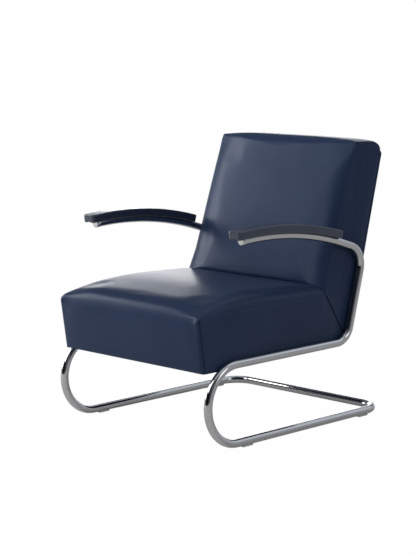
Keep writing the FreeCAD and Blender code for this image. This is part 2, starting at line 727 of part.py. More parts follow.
def seat_corner_blocks():
    """Three-cornered glue blocks inside the seat frame."""
    body = new_body("corner_block")
    plan = new_sketch(body, "corner_block_plan", "XY_Plane")
    leg = number("Sizes.corner_block")
    points = [Vector(0, 0, 0), Vector(leg, 0, 0), Vector(0, leg, 0)]
    for index, point in enumerate(points):
        plan.addGeometry(Part.LineSegment(point, points[(index + 1) % 3]), False)
    for index in range(3):
        constrain(plan, Sketcher.Constraint("Coincident", index, 2, (index + 1) % 3, 1))
    constrain(plan, Sketcher.Constraint("Coincident", 0, 1, -1, 1))
    constrain(plan, Sketcher.Constraint("Horizontal", 0))
    constrain(plan, Sketcher.Constraint("Vertical", 2))
    constrain(plan, Sketcher.Constraint("DistanceX", 0, 1, 0, 2, leg), "Sizes.corner_block")
    constrain(plan, Sketcher.Constraint("DistanceY", 0, 1, 1, 2, leg), "Sizes.corner_block")
    pad(body, plan, "corner_block_height", "Sizes.corner_block_height")
    front = f"{FRAME_FRONT_Y} + Sizes.board"
    rear = f"{FRAME_REAR_Y} - Sizes.board"
    corners = [(f"-{INNER_X}", front), (INNER_X, front), (INNER_X, rear), (f"-{INNER_X}", rear)]
    spots = [(x, y, FRAME_Z, (0, 0, 1), str(index * 90)) for index, (x, y) in enumerate(corners)]
    finish(place(copies("corner_block_set", body, spots), y=SHIFT_Y), "seat_corner_blocks")


SPRING_FRONT_Y = f"({FRAME_FRONT_Y} + Sizes.board / 2)"
SPRING_SPAN = f"({FRAME_REAR_Y} - {FRAME_FRONT_Y} - Sizes.board)"
SPRING_X = [f"{INNER_X} * {2 * (index + 1) / (SEAT_SPRINGS + 1) - 1:.4f}" for index in range(SEAT_SPRINGS)]


def spring_path():
    """Flat snake of straight runs and half turns from the front rail to the rear rail."""
    span = number(SPRING_SPAN)
    turns = round(span / number("Sizes.spring_pitch"))
    pitch = span / turns
    half_run = number("Sizes.spring_half_run")
    height = number(SPRING_Z)
    y = number(SPRING_FRONT_Y)
    side = 1
    edges = [Part.LineSegment(Vector(-half_run, y, height), Vector(half_run, y, height)).toShape()]
    for _ in range(turns):
        start = Vector(side * half_run, y, height)
        turn, end = arc_between(start, start + Vector(0, pitch / 2, 0), 180, Vector(0, 0, side))
        edges.append(turn)
        edges.append(Part.LineSegment(end, end - Vector(2 * side * half_run, 0, 0)).toShape())
        side = -side
        y += pitch
    return spine("spring_path", edges)


def seat_springs():
    """Sinuous springs across the seat frame, and the clips that hold their ends."""
    path = spring_path()
    start = ("-Sizes.spring_half_run", SPRING_FRONT_Y, SPRING_Z, (0, 1, 0), "90")
    wire = swept("spring", path, "Sizes.spring_wire / 2", *start)
    springs = copies("spring_set", wire, [(x, "0", "0") for x in SPRING_X])
    finish(place(springs, y=SHIFT_Y), "seat_springs")
    height = "2 * Sizes.clip_sheet + Sizes.spring_wire + 2 * Sizes.fit_gap"
    block = solid("Part::Box", "clip_block", Length="Sizes.clip_width", Height=height)
    bind(block, Width="Sizes.clip_depth")
    eye = solid("Part::Cylinder", "clip_eye", Radius="Sizes.spring_wire / 2 + Sizes.fit_gap")
    bind(eye, Height="Sizes.clip_width")
    place(eye, "0", "Sizes.clip_depth / 2", f"{SPRING_Z} - {FRAME_TOP_Z}", (0, 1, 0), "90")
    clip = cut("clip", block, eye)
    spots = []
    for x in SPRING_X:
        for y in (SPRING_FRONT_Y, f"{SPRING_FRONT_Y} + {SPRING_SPAN}"):
            spots.append((f"{x} - Sizes.clip_width / 2", f"{y} - Sizes.clip_depth / 2", FRAME_TOP_Z))
    finish(place(copies("clip_set", clip, spots), y=SHIFT_Y), "spring_clips")


def flat_sheets():
    """Felt over the springs, and the cloth that closes the seat from below."""
    depth = f"{FRAME_REAR_Y} - {FRAME_FRONT_Y}"
    felt = solid("Part::Box", "felt", Length=f"2 * {BOARD_X}", Width=depth, Height="Sizes.felt")
    finish(place(felt, f"-{BOARD_X}", f"{FRAME_FRONT_Y} + {SHIFT_Y}", FELT_Z), "seat_felt")
    half = f"({HALF_WIDTH} - Sizes.leather - Sizes.soft_gap)"
    front = "(-Sizes.seat_front_reach + Sizes.leather + Sizes.soft_gap)"
    rear = f"({SEAT_HEEL_Y} - 4 * Sizes.leather)"
    cloth = solid("Part::Box", "cloth", Length=f"2 * {half}", Width=f"{rear} - {front}")
    bind(cloth, Height="Sizes.dust_cover")
    place(cloth, f"-{half}", f"{front} + {SHIFT_Y}", f"{SEAT_Z} + Sizes.soft_gap")
    finish(cloth, "seat_dust_cover")


# upholstery


def inset_outline(corners, insets):
    """Move each side of an anticlockwise outline in by its own distance; corner radii shrink alike."""
    count = len(corners)
    lines = []
    for index, (point, _) in enumerate(corners):
        run = corners[(index + 1) % count][0] - point
        inwards = Vector(-run.y, run.x, 0).normalize()
        lines.append((point + inwards * insets[index], run))
    moved = []
    for index, (_, radius) in enumerate(corners):
        before, before_run = lines[index - 1]
        after, after_run = lines[index]
        across = before_run.x * after_run.y - before_run.y * after_run.x
        gap = after - before
        reach = (gap.x * after_run.y - gap.y * after_run.x) / across
        shrink = max(0, min(insets[index - 1], insets[index]))
        moved.append((before + before_run * reach, max(radius - shrink, number("Sizes.seam_radius") / 2)))
    return moved


def rounded_wire(name, corners, to_space):
    """Closed wire of lines and arcs; each corner is a flat place and a radius, set in space at the end."""
    arcs = []
    count = len(corners)
    for index, (corner, radius) in enumerate(corners):
        to_before = (corners[index - 1][0] - corner).normalize()
        to_after = (corners[(index + 1) % count][0] - corner).normalize()
        half = to_before.getAngle(to_after) / 2
        reach = radius / math.tan(half)
        middle = corner + (to_before + to_after).normalize() * (radius / math.sin(half) - radius)
        arcs.append([corner + to_before * reach, middle, corner + to_after * reach])
    edges = []
    for index, arc in enumerate(arcs):
        start, middle, end = [to_space(point.x, point.y) for point in arc]
        previous = arcs[index - 1][2]
        edges.append(Part.LineSegment(to_space(previous.x, previous.y), start).toShape())
        edges.append(Part.Arc(start, middle, end).toShape())
    return spine(name, edges)


def prism(name, wire, direction, reach):
    """A closed wire carried along a direction by the same reach both ways."""
    thing = document.addObject("Part::Extrusion", name)
    thing.Base = wire
    thing.DirMode = "Custom"
    thing.Dir = direction
    thing.Solid = True
    bind(thing, LengthFwd=reach, LengthRev=reach)
    return thing


def seat_side_outline():
    """Side view of the seat: bottom, cut off heel, mitred rear face, long crown and front edge."""
    low = number(SEAT_Z)
    top = number(SEAT_SIDE_TOP) + number("Sizes.seat_roll")
    foot = number(MITRE_FOOT_Y)
    lean = number(MITRE_LEAN)
    heel = number("Sizes.mitre_heel_rise")
    front = -number("Sizes.seat_front_reach")
    rear_top = top - number("Sizes.seat_rear_drop")
    front_top = top - number("Sizes.seat_front_drop")
    seam = number("Sizes.seam_radius")
    return [
        (Vector(front, low), seam),
        (Vector(number(SEAT_HEEL_Y), low), seam),
        (Vector(foot - heel * lean, low + heel), seam),
        (Vector(foot - (rear_top - low) * lean, rear_top), number("Sizes.rear_top_radius")),
        (Vector(number("Sizes.seat_peak"), top), number("Sizes.crown_radius")),
        (Vector(front - number("Sizes.seat_front_flare"), front_top), number("Sizes.seat_front_radius")),
    ]


def back_side_outline():
    """Side view of the back: cut off heel, leaning rear face, sloped top, front face and mitred foot."""
    low = number(SEAT_Z)
    side_top = number(SEAT_SIDE_TOP)
    foot = number(MITRE_FOOT_Y)
    lean = number(MITRE_LEAN)
    front_slope = math.tan(math.radians(number("Sizes.back_front_lean")))
    rear_slope = math.tan(math.radians(number("Sizes.back_lean")))
    seat_heel = number("Sizes.mitre_heel_rise")
    back_heel = number("Sizes.back_heel_rise")
    lead = number("Sizes.back_roll")
    face = number(MITRE_TOP_Y) - lead
    front_top = low + number("Sizes.back_height")
    rear_top = front_top - number("Sizes.back_top_fall")
    join = lead / (front_slope + lean)
    radius = number("Sizes.back_edge_radius")
    seam = number("Sizes.seam_radius")
    return [
        (Vector(foot - seat_heel * lean, low + seat_heel), seam),
        (Vector(foot + back_heel * rear_slope, low + back_heel), seam),
        (Vector(foot + (rear_top - low) * rear_slope, rear_top), radius),
        (Vector(face + (front_top - side_top) * front_slope, front_top), radius),
        (Vector(face + join * front_slope, side_top + join), number("Sizes.front_foot_radius")),
    ]


def rolled_outline(name, near, far, roll, margin, to_space):
    """Across the chair: square at the near edge, with both corners of the far edge rolled over."""
    half = number(HALF_WIDTH) - margin
    seam = number("Sizes.seam_radius")
    corners = [
        (Vector(-half, near), seam),
        (Vector(half, near), seam),
        (Vector(half, far - margin), number(roll) - margin),
        (Vector(-half, far - margin), number(roll) - margin),
    ]
    return rounded_wire(name, corners, to_space)


def cushion_form(name, side_corners, insets, across, direction, side_inset):
    """Plain cushion: what its side view and its view along the rolled edges have in common."""
    inset = inset_outline(side_corners, insets)
    side_wire = rounded_wire(f"{name}_side", inset, lambda y, z: Vector(0, y, z))
    long_way = prism(f"{name}_long", side_wire, Vector(1, 0, 0), f"{HALF_WIDTH} - {side_inset}")
    form = document.addObject("Part::Common", name)
    form.Base = long_way
    form.Tool = prism(f"{name}_cross", across, direction, BEYOND)
    return form


def seat_form(name, insets, margin):
    """The seat's form, drawn in by a margin at its sides and top."""
    low = number(SEAT_Z) - number("Sizes.seat_side_height")
    top = number(SEAT_SIDE_TOP) + number("Sizes.seat_roll")
    across = rolled_outline(
        f"{name}_across", low, top, "Sizes.seat_roll", margin, lambda x, z: Vector(x, 0, z)
    )
    return cushion_form(name, seat_side_outline(), insets, across, Vector(0, 1, 0), margin)


def back_form(name, insets, margin):
    """The back's form, rolled at the sides of its leaning front face."""
    lean = math.radians(number("Sizes.back_front_lean"))
    face_y = number(MITRE_TOP_Y) - number("Sizes.back_roll")
    face_z = number(SEAT_SIDE_TOP)

    def leaning_plane(x, ahead):
        return Vector(x, face_y - ahead * math.cos(lean), face_z + ahead * math.sin(lean))

    far_behind = -number("Sizes.seat_side_height") * 2
    across = rolled_outline(f"{name}_across", far_behind, 0, "Sizes.back_roll", margin, leaning_plane)
    along = Vector(0, math.sin(lean), math.cos(lean))
    return cushion_form(name, back_side_outline(), insets, across, along, margin)


def leaning(thing, x, across, up):
    """Place a piece in the back's own frame: across is towards the rear, up runs along the lean."""
    y = f"{MITRE_FOOT_Y} + ({across}) * cos(Sizes.back_lean) + ({up}) * sin(Sizes.back_lean)"
    z = f"{SEAT_Z} - ({across}) * sin(Sizes.back_lean) + ({up}) * cos(Sizes.back_lean)"
    return place(thing, x, y, z, (-1, 0, 0), "Sizes.back_lean")


def seat_upholstery():
    """Leather cover open underneath, and the foam that caps the seat frame inside it."""
    leather = number("Sizes.leather")
    half_gap = number("Sizes.unit_gap") / 2
    clear = leather + number("Sizes.soft_gap")
    past_bottom = -number("Sizes.board")
    outside = seat_form("seat_outside", (0, 0, half_gap, 0, 0, 0), 0)
    insets = (past_bottom, leather, half_gap + leather, leather, leather, leather)
    inside = seat_form("seat_inside", insets, leather)
    shell = cut("seat_shell", outside, inside)
    holes = (SEAT_BOLT_PLACES, SPACER_BORE, BOARD_X, "Sizes.foam_skirt * 3")
    finish(place(drill_both_sides("seat_cover", shell, *holes), y=SHIFT_Y), "seat_cover")
    bottom = number(FRAME_Z) - number(SEAT_Z)
    block = seat_form("seat_block", (bottom, clear, half_gap + clear, clear, clear, clear), clear)
    room = solid("Part::Box", "seat_room", Length=f"2 * ({BOARD_X} + Sizes.soft_gap)")
    depth = f"{FRAME_REAR_Y} - {FRAME_FRONT_Y} + 2 * Sizes.soft_gap"
    bind(room, Width=depth, Height=f"{FOAM_Z} - {SEAT_Z} + Sizes.board")
    room_x = f"-{BOARD_X} - Sizes.soft_gap"
    place(room, room_x, f"{FRAME_FRONT_Y} - Sizes.soft_gap", f"{SEAT_Z} - Sizes.board")
    foam = drill_both_sides("seat_foam", cut("seat_foam_room", block, room), *holes)
    finish(place(foam, y=SHIFT_Y), "seat_foam")


def back_upholstery():
    """Leather cover in front of the rear panel, and the foam around the back frame."""
    leather = number("Sizes.leather")
    half_gap = number("Sizes.unit_gap") / 2
    clear = leather + number("Sizes.soft_gap")
    rear = number("Sizes.back_panel_thickness") + number("Sizes.soft_gap")
    outside = back_form("back_outside", (0, rear, 0, 0, half_gap), 0)
    insets = (leather, rear + leather, leather, leather, half_gap + leather)
    inside = back_form("back_inside", insets, leather)
    holes = (BACK_BOLT_PLACES, SPACER_BORE, BOARD_X, "Sizes.foam_skirt * 3")
    cover = drill_both_sides("back_cover", cut("back_shell", outside, inside), *holes)
    finish(place(cover, y=SHIFT_Y), "back_cover")
    block = back_form("back_block", (clear, rear + clear, clear, clear, half_gap + clear), clear)
    room = solid("Part::Box", "back_room", Length=f"2 * ({BOARD_X} + Sizes.soft_gap)")
    bind(room, Width=f"{WEBBING_DEPTH} + Sizes.soft_gap", Height=f"{STILE_HEIGHT} + 2 * Sizes.soft_gap")
    room_foot = "Sizes.back_frame_foot - Sizes.soft_gap"
    leaning(room, f"-{BOARD_X} - Sizes.soft_gap", f"-{WEBBING_DEPTH} - Sizes.soft_gap", room_foot)
    foam = drill_both_sides("back_foam", cut("back_foam_room", block, room), *holes)
    finish(place(foam, y=SHIFT_Y), "back_foam")


# back frame

PANEL_HALF = f"({HALF_WIDTH} - Sizes.soft_gap)"
PANEL_FOOT = "(Sizes.back_heel_rise / cos(Sizes.back_lean) + 3 * Sizes.leather)"
PANEL_HEIGHT = f"({BACK_FRAME_TOP} - {PANEL_FOOT})"
WEBBING_DEPTH = f"(-{BACK_FRONT_Y} + Sizes.webbing_thickness)"
STILE_HEIGHT = f"({BACK_FRAME_TOP} - Sizes.back_frame_foot)"


def back_stiles():
    stile = board("back_side", "Sizes.stile_depth", STILE_HEIGHT, "Sizes.board")
    leaning(stile, INNER_X, BACK_FRONT_Y, "Sizes.back_frame_foot")
    drills = cross_bores("stile_bore", BACK_BOLT_PLACES, BOLT_BORE, INNER_X, "Sizes.board")
    left = cut("back_left_stile_drilled", stile, group("stile_bores", drills))
    finish(place(left, y=SHIFT_Y), "back_left_stile")
    finish(mirrored("back_right_stile_drilled", left), "back_right_stile")


def back_rails():
    heights = {"top": f"{BACK_FRAME_TOP} - Sizes.back_rail_height", "bottom": "Sizes.back_frame_foot"}
    for name, up in heights.items():
        rail = board(f"back_{name}", "Sizes.board", "Sizes.back_rail_height", f"2 * {INNER_X}")
        leaning(rail, f"-{INNER_X}", BACK_FRONT_Y, up)
        finish(move_with_chair(rail), f"back_{name}_rail")


def move_with_chair(thing):
    """Add the chair's shift along Y to a piece that is placed by itself."""
    place_y = dict(thing.ExpressionEngine)[".Placement.Base.y"]
    bind(thing, Placement__Base__y=f"{place_y} + {SHIFT_Y}")
    return thing


def back_webbing():
    """Elastic straps across the front of the stiles."""
    strap = solid("Part::Box", "strap", Length=f"2 * {BOARD_X} - Sizes.board / 2")
    bind(strap, Width="Sizes.webbing_thickness", Height="Sizes.webbing_width")
    members = []
    for index in range(WEBBING_STRAPS):
        share = (index + 0.5) / WEBBING_STRAPS
        up = f"Sizes.back_frame_foot + {STILE_HEIGHT} * {share} - Sizes.webbing_width / 2"
        link = document.addObject("App::Link", f"strap_{index}")
        link.LinkedObject = strap
        members.append(leaning(link, f"-{BOARD_X} + Sizes.board / 4", f"-{WEBBING_DEPTH}", up))
    finish(place(group("strap_set", members), y=SHIFT_Y), "back_webbing")


def back_panel():
    """Leather covered board over the whole rear of the back, with rounded outer edges."""
    thickness = "Sizes.back_panel_thickness"
    panel = board("rear_panel", thickness, PANEL_HEIGHT, f"2 * {PANEL_HALF}")
    document.recompute()
    plate = panel.Tip
    depth = number(thickness)
    outer = []
    for index, edge in enumerate(plate.Shape.Edges, start=1):
        if min(vertex.Point.y for vertex in edge.Vertexes) > depth - 0.01:
            outer.append(f"Edge{index}")
    rim = panel.newObject("PartDesign::Fillet", "rear_panel_rim")
    rim.Base = (plate, outer)
    bind(rim, Radius="Sizes.back_panel_edge")
    leaning(panel, f"-{PANEL_HALF}", f"-{thickness}", PANEL_FOOT)
    finish(move_with_chair(panel), "back_panel")


def export():
    """Stop on any failed object or broken solid, then write one file for each sub-part."""
    document.recompute()
    for thing in document.Objects:
        if "Invalid" in thing.State or "Error" in thing.State:
            raise RuntimeError(f"{thing.Name} ({thing.Label}) failed: {thing.State}")
    for thing in sub_parts:
        shape = thing.Shape
        if shape.isNull() or not shape.isValid() or not shape.Solids:
            raise RuntimeError(f"{thing.Label} has no sound solid")
    os.makedirs("parts", exist_ok=True)
    for thing in sub_parts:
        thing.Shape.exportStep(f"parts/{thing.Label}.step")
        print(f"{thing.Label}: {len(thing.Shape.Solids)} solids, {thing.Shape.Volume / 1000:.1f} cm3")


base_tube()
floor_glides()
side_tubes()
tube_caps()
armrests()
armrest_screws()
frame_bolts()
seat_rails()
seat_corner_blocks()
seat_springs()
flat_sheets()
seat_upholstery()
back_stiles()
back_rails()
back_webbing()
back_panel()
back_upholstery()
export()
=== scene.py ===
import math

import bpy
import numpy as np
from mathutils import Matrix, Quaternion, Vector


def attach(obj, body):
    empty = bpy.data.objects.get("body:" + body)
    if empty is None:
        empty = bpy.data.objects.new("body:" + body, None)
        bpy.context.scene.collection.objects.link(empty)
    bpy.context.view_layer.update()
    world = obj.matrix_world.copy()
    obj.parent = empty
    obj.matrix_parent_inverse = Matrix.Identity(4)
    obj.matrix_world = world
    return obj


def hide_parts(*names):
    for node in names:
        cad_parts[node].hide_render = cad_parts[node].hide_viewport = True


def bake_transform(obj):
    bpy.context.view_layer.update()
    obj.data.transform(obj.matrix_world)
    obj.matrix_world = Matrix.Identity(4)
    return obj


# Looks of the cantilever lounge chair: chromed tube, navy leather seat and back, dark lacquered arms.
# The chair faces -Y and stands on Z 0. Sizes are in millimetres here and become metres in the meshes.

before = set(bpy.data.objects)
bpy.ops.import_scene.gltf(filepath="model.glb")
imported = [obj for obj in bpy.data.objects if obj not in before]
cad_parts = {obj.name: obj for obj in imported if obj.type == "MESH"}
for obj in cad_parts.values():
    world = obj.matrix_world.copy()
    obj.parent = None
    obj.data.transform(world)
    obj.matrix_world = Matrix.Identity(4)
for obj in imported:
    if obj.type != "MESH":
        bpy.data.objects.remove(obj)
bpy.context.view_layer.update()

MM = 0.001

# bent tube
TUBE_RADIUS = 12.5
TUBE_WALL = 2.5
TUBE_LIP = 0.6
TUBE_SIDES = 40
TUBE_ARC_STEP = 12
SIDE_X = 319.25
RUNNER_Z = 15.0
BEND_HEIGHT = 234.1
BASE_DEPTH = 643.8
BASE_CORNER_RADIUS = 70.0
RAIL_LENGTH = 437.6
REAR_BEND_RADIUS = 59.0
UPRIGHT_LEAN = 15.75
UPRIGHT_LENGTH = 178.3
ARM_BEND_RADIUS = 65.7
ARM_RISE = 17.76
ARM_STRAIGHT = 33.2
ARM_ARCH_RADIUS = 1138.0
ARM_ARCH_TURN = 22.7
RAIL_Z = RUNNER_Z + BEND_HEIGHT

# upholstery
HALF_WIDTH = 305.0
SEAT_Z = 233.5
SEAT_SIDE_TOP = 399.5
SEAT_FRONT_REACH = 121.0
SEAT_FRONT_FLARE = 28.0
SEAT_ROLL = 46.0
SEAT_RISE = 33.0
SEAT_CROWN = 6.0
SEAT_LENGTH_CROWN = 14.0
SEAT_FRONT_RADIUS = 56.0
SEAT_PEAK_Y = RAIL_LENGTH * 0.27
SEAT_PEAK_RADIUS = 1400
SEAT_PINCH = 0.55
SEAT_PINCH_REACH = 78.0
MITRE_TOP_Y = 403.0
MITRE_FOOT_Y = 508.0
SEAT_HEEL_Y = 456.0
MITRE_HEEL_RISE = 29.5
BACK_HEEL_RISE = 60.0
BACK_LEAN = 15.0
BACK_FRONT_LEAN = 19.6
BACK_HEIGHT = 634.0
BACK_SETBACK = 23.0
BACK_ROLL = 70.0
BACK_CROWN = 10.0
BACK_TAPER = 12.0
BACK_TAPER_DEPTH = 95.0
BACK_TAPER_RISE = 90.0
BACK_SIDE_HELD_TOP = 560.0
BACK_PINCH = 0.5
BACK_PINCH_REACH = 75.0
BACK_TOP_DROP = 13.0
BACK_TOP_FALL = 11.0
BACK_EDGE_RADIUS = 26.0
SIDE_RADIUS = 8.0
UPRIGHT_CORNER_RADIUS = 9.0
PANEL_THICKNESS = 6.0
LEATHER = 1.5
DUST_COVER = 1.0
PANEL_EDGE_RADIUS = 2.5
WELT_RADIUS = 2.4
WELT_SIDES = 12
SEAM_WIDTH = 2.2
MITRE_SEAM_DEPTH = 1.0
MITRE_SEAM_WIDTH = 2.4
COVER_PRESSURE = 1.8
COVER_REACH = 2.4
CLOTH_STEPS = 20
EVENING_ROUNDS = 10
UNIT_GAP = 0.6
SOFT_GAP = 0.3

MITRE_SLOPE = (MITRE_FOOT_Y - MITRE_TOP_Y) / (SEAT_SIDE_TOP - SEAT_Z)
REAR_REACH = MITRE_FOOT_Y + (BACK_HEIGHT - BACK_EDGE_RADIUS) * math.tan(math.radians(BACK_LEAN))
SHIFT_Y = (SEAT_FRONT_REACH + SEAT_FRONT_FLARE - REAR_REACH) / 2

X_AXIS = Vector((1, 0, 0))
Y_AXIS = Vector((0, 1, 0))
Z_AXIS = Vector((0, 0, 1))


# camera, lamps and surroundings


def add_camera():
    """The photograph's long lens, high at the chair's front left corner."""
    data = bpy.data.cameras.new("camera")
    data.sensor_width = 36
    data.lens = 110.81
    camera = bpy.data.objects.new("camera", data)
    bpy.context.scene.collection.objects.link(camera)
    place = Vector((3.7242, -3.6980, 1.2505))
    target = Vector((-0.1414, 0.0767, 0.4157))
    roll = Quaternion(Z_AXIS, math.radians(-0.58))
    camera.location = place
    camera.rotation_mode = "QUATERNION"
    camera.rotation_quaternion = (target - place).to_track_quat("-Z", "Y") @ roll
    bpy.context.scene.camera = camera


def add_softbox(name, place, target, width, height, power):
    data = bpy.data.lights.new(name, "AREA")
    data.shape = "RECTANGLE"
    data.size = width
    data.size_y = height
    data.energy = power
    lamp = bpy.data.objects.new(name, data)
    bpy.context.scene.collection.objects.link(lamp)
    lamp.location = place
    lamp.rotation_mode = "QUATERNION"
    lamp.rotation_quaternion = (Vector(target) - Vector(place)).to_track_quat("-Z", "Y")
    return lamp


class Value:
    """A number from a shader node; sums on it add Math nodes."""

    def __init__(self, tree, socket):
        self.tree = tree
        self.socket = socket

    def math(self, operation, *terms):
        return Shader(self.tree).node("ShaderNodeMath", {"operation": operation}, dict(enumerate(terms)))

    def __add__(self, other):
        return self.math("ADD", self, other)

    def __radd__(self, other):
        return self.math("ADD", other, self)

    def __sub__(self, other):
        return self.math("SUBTRACT", self, other)

    def __rsub__(self, other):
        return self.math("SUBTRACT", other, self)

    def __mul__(self, other):
        return self.math("MULTIPLY", self, other)

    def __rmul__(self, other):
        return self.math("MULTIPLY", other, self)

    def band(self, low, high):
        """0 below low, 1 above high and smooth in between."""
        settings = {"interpolation_type": "SMOOTHSTEP"}
        inputs = {"Value": self, "From Min": low, "From Max": high}
        return Shader(self.tree).node("ShaderNodeMapRange", settings, inputs)


class Shader:
    """Adds nodes to one material or world."""

    def __init__(self, tree):
        self.tree = tree

    def node(self, kind, settings=None, inputs=None, output=0):
        """A node of any type: its settings first, then the values or links of its sockets."""
        node = self.tree.nodes.new(kind)
        for name, value in (settings or {}).items():
            setattr(node, name, value)
        for name, value in (inputs or {}).items():
            if isinstance(value, Value):
                self.tree.links.new(value.socket, node.inputs[name])
            else:
                node.inputs[name].default_value = value
        return Value(self.tree, node.outputs[output]) if node.outputs else None

    def mixed(self, factor, first, second):
        """A colour between two colours."""
        settings = {"data_type": "RGBA"}
        return self.node("ShaderNodeMix", settings, {0: factor, 6: first, 7: second}, output=2)

    def noise(self, place, scale, detail=3.0, roughness=0.5, stretch=None):
        if stretch is not None:
            place = self.node("ShaderNodeVectorMath", {"operation": "MULTIPLY"}, {0: place, 1: stretch})
        inputs = {"Vector": place, "Scale": scale, "Detail": detail, "Roughness": roughness}
        return self.node("ShaderNodeTexNoise", None, inputs)

    def bump(self, height, strength, distance):
        inputs = {"Height": height, "Strength": strength, "Distance": distance}
        return self.node("ShaderNodeBump", None, inputs)

    def place(self):
        """Where the shaded point is, in metres in the chair's own frame."""
        return self.node("ShaderNodeTexCoord", output=3)


def new_material(name):
    material = bpy.data.materials.new(name)
    material.use_nodes = True
    material.node_tree.nodes.clear()
    return material, Shader(material.node_tree)


def principled(shader, material, inputs):
    """Finish a material with one Principled shader."""
    surface = shader.node("ShaderNodeBsdfPrincipled", None, inputs)
    shader.node("ShaderNodeOutputMaterial", None, {"Surface": surface})
    return material


def grey(value):
    return (value, value, value, 1.0)


def stage_world():
    """White behind the chair for the camera; a lit side and a dim side for light and reflections."""
    world = bpy.data.worlds.new("studio")
    bpy.context.scene.world = world
    world.use_nodes = True
    world.node_tree.nodes.clear()
    shader = Shader(world.node_tree)
    direction = shader.node("ShaderNodeTexCoord", output=0)

    def towards(*aim):
        inputs = {0: direction, 1: Vector(aim).normalized()}
        return shader.node("ShaderNodeVectorMath", {"operation": "DOT_PRODUCT"}, inputs, output=1)

    height = towards(0, 0, 1)
    low_glow = towards(-0.72, 0.69, 0.0).band(-0.1, 0.85) * (1.0 - height.band(0.13, 0.36) * 0.9)
    side_glow = towards(0.85, 0.5, 0.1).band(0.55, 0.95) * 0.35
    overhead = height.band(0.75, 0.95) * 0.55
    rear_glow = towards(0.15, 0.69, 0.70).band(0.80, 0.97) * 0.6
    flag = towards(0.12, -0.98, 0.12).band(0.76, 0.9)
    room = (low_glow * 0.58 + side_glow + overhead + rear_glow + 0.10) * (1.0 - flag * 0.92)

    def background(colour, strength):
        return shader.node("ShaderNodeBackground", None, {"Color": colour, "Strength": strength})

    seen = shader.node("ShaderNodeLightPath", output=0)
    mirrored = shader.node("ShaderNodeLightPath", output=3)
    white = background(grey(1.0), 1.0)
    reflected = background((0.86, 0.905, 1.0, 1.0), room)
    ambient = background(grey(1.0), 0.42)
    indirect = shader.node("ShaderNodeMixShader", None, {0: mirrored, 1: ambient, 2: reflected})
    shown = shader.node("ShaderNodeMixShader", None, {0: seen, 1: indirect, 2: white})
    shader.node("ShaderNodeOutputWorld", None, {"Surface": shown})


def add_floor():
    """A plain white floor that keeps a faint shadow."""
    mesh = bpy.data.meshes.new("floor")
    reach = 14.0
    corners = [(-reach, -reach, 0), (reach, -reach, 0), (reach, reach, 0), (-reach, reach, 0)]
    mesh.from_pydata(corners, [], [(0, 1, 2, 3)])
    floor = bpy.data.objects.new("floor", mesh)
    bpy.context.scene.collection.objects.link(floor)
    material, shader = new_material("floor_white")
    lit = shader.node("ShaderNodeBsdfDiffuse", None, {"Color": grey(0.62)})
    glow = shader.node("ShaderNodeEmission", None, {"Color": grey(1.0), "Strength": 1.0})
    seen = shader.node("ShaderNodeLightPath", output=0)
    mirrored = shader.node("ShaderNodeLightPath", output=3)
    share = seen * 0.99 + mirrored * 0.12
    surface = shader.node("ShaderNodeMixShader", None, {0: share, 1: lit, 2: glow})
    shader.node("ShaderNodeOutputMaterial", None, {"Surface": surface})
    mesh.materials.append(material)


# finishes


def leather():
    """Smooth navy hide: fine pores, cloudy dye, and painted shade in the seam grooves, which are also duller.
    """
    material, shader = new_material("navy_leather")
    place = shader.place()
    cloud = shader.noise(place, 5.0, 4.0, 0.55)
    inputs = {"Vector": place, "Scale": 620.0}
    pores = shader.node("ShaderNodeTexVoronoi", {"feature": "DISTANCE_TO_EDGE"}, inputs)
    grain = shader.noise(place, 240.0, 5.0, 0.6)
    seam = shader.node("ShaderNodeAttribute", {"attribute_name": "seam"}, output=2)
    dye = shader.mixed(cloud.band(0.3, 0.7), (0.0190, 0.0330, 0.0760, 1.0), (0.0235, 0.0400, 0.0900, 1.0))
    worn = shader.mixed(grain.band(0.62, 0.8) * 0.25, dye, (0.030, 0.050, 0.105, 1.0))
    # painted shade: the seam attribute pulls the hide towards near black in the carved seam grooves
    colour = shader.mixed(seam * 0.85, worn, (0.003, 0.004, 0.009, 1.0))
    roughness = 0.30 + (cloud - 0.5) * 0.10 + (grain - 0.5) * 0.08 + seam * 0.25
    relief = pores.band(0.0, 0.12) * 0.6 + grain * 0.7
    normal = shader.bump(relief, 0.10, 0.0004)
    return principled(shader, material, {
        "Base Color": colour, "Roughness": roughness, "Normal": normal,
        "IOR": 1.45, "Specular IOR Level": 0.2, "Specular Tint": (0.62, 0.74, 1.0, 1.0),
    })


def chrome():
    """Bright plated steel with faint polishing streaks and a few duller patches."""
    material, shader = new_material("chromed_tube")
    place = shader.place()
    patches = shader.noise(place, 9.0, 3.0, 0.5)
    streaks = shader.noise(place, 900.0, 2.0, 0.5)
    roughness = 0.055 + patches.band(0.45, 0.75) * 0.05 + (streaks - 0.5) * 0.03
    colour = shader.mixed(patches, (0.53, 0.53, 0.535, 1.0), (0.60, 0.60, 0.605, 1.0))
    normal = shader.bump(streaks, 0.02, 0.0002)
    return principled(shader, material, {
        "Base Color": colour, "Metallic": 1.0, "Roughness": roughness, "Normal": normal,
    })


def lacquer():
    """Dark blue-black lacquer over wood: satin, with a trace of the grain below."""
    material, shader = new_material("lacquered_pad")
    place = shader.place()
    grain = shader.noise(place, 60.0, 6.0, 0.6, stretch=(6.0, 0.6, 6.0))
    peel = shader.noise(place, 420.0, 2.0, 0.5)
    colour = shader.mixed(grain, (0.019, 0.025, 0.048, 1.0), (0.027, 0.035, 0.064, 1.0))
    roughness = 0.26 + (grain - 0.5) * 0.05 + (peel - 0.5) * 0.02
    normal = shader.bump(grain * 0.6 + peel * 0.4, 0.012, 0.0002)
    return principled(shader, material, {
        "Base Color": colour, "Roughness": roughness, "Normal": normal, "IOR": 1.55,
        "Coat Weight": 0.5, "Coat Roughness": 0.16, "Specular Tint": (0.7, 0.8, 1.0, 1.0),
    })


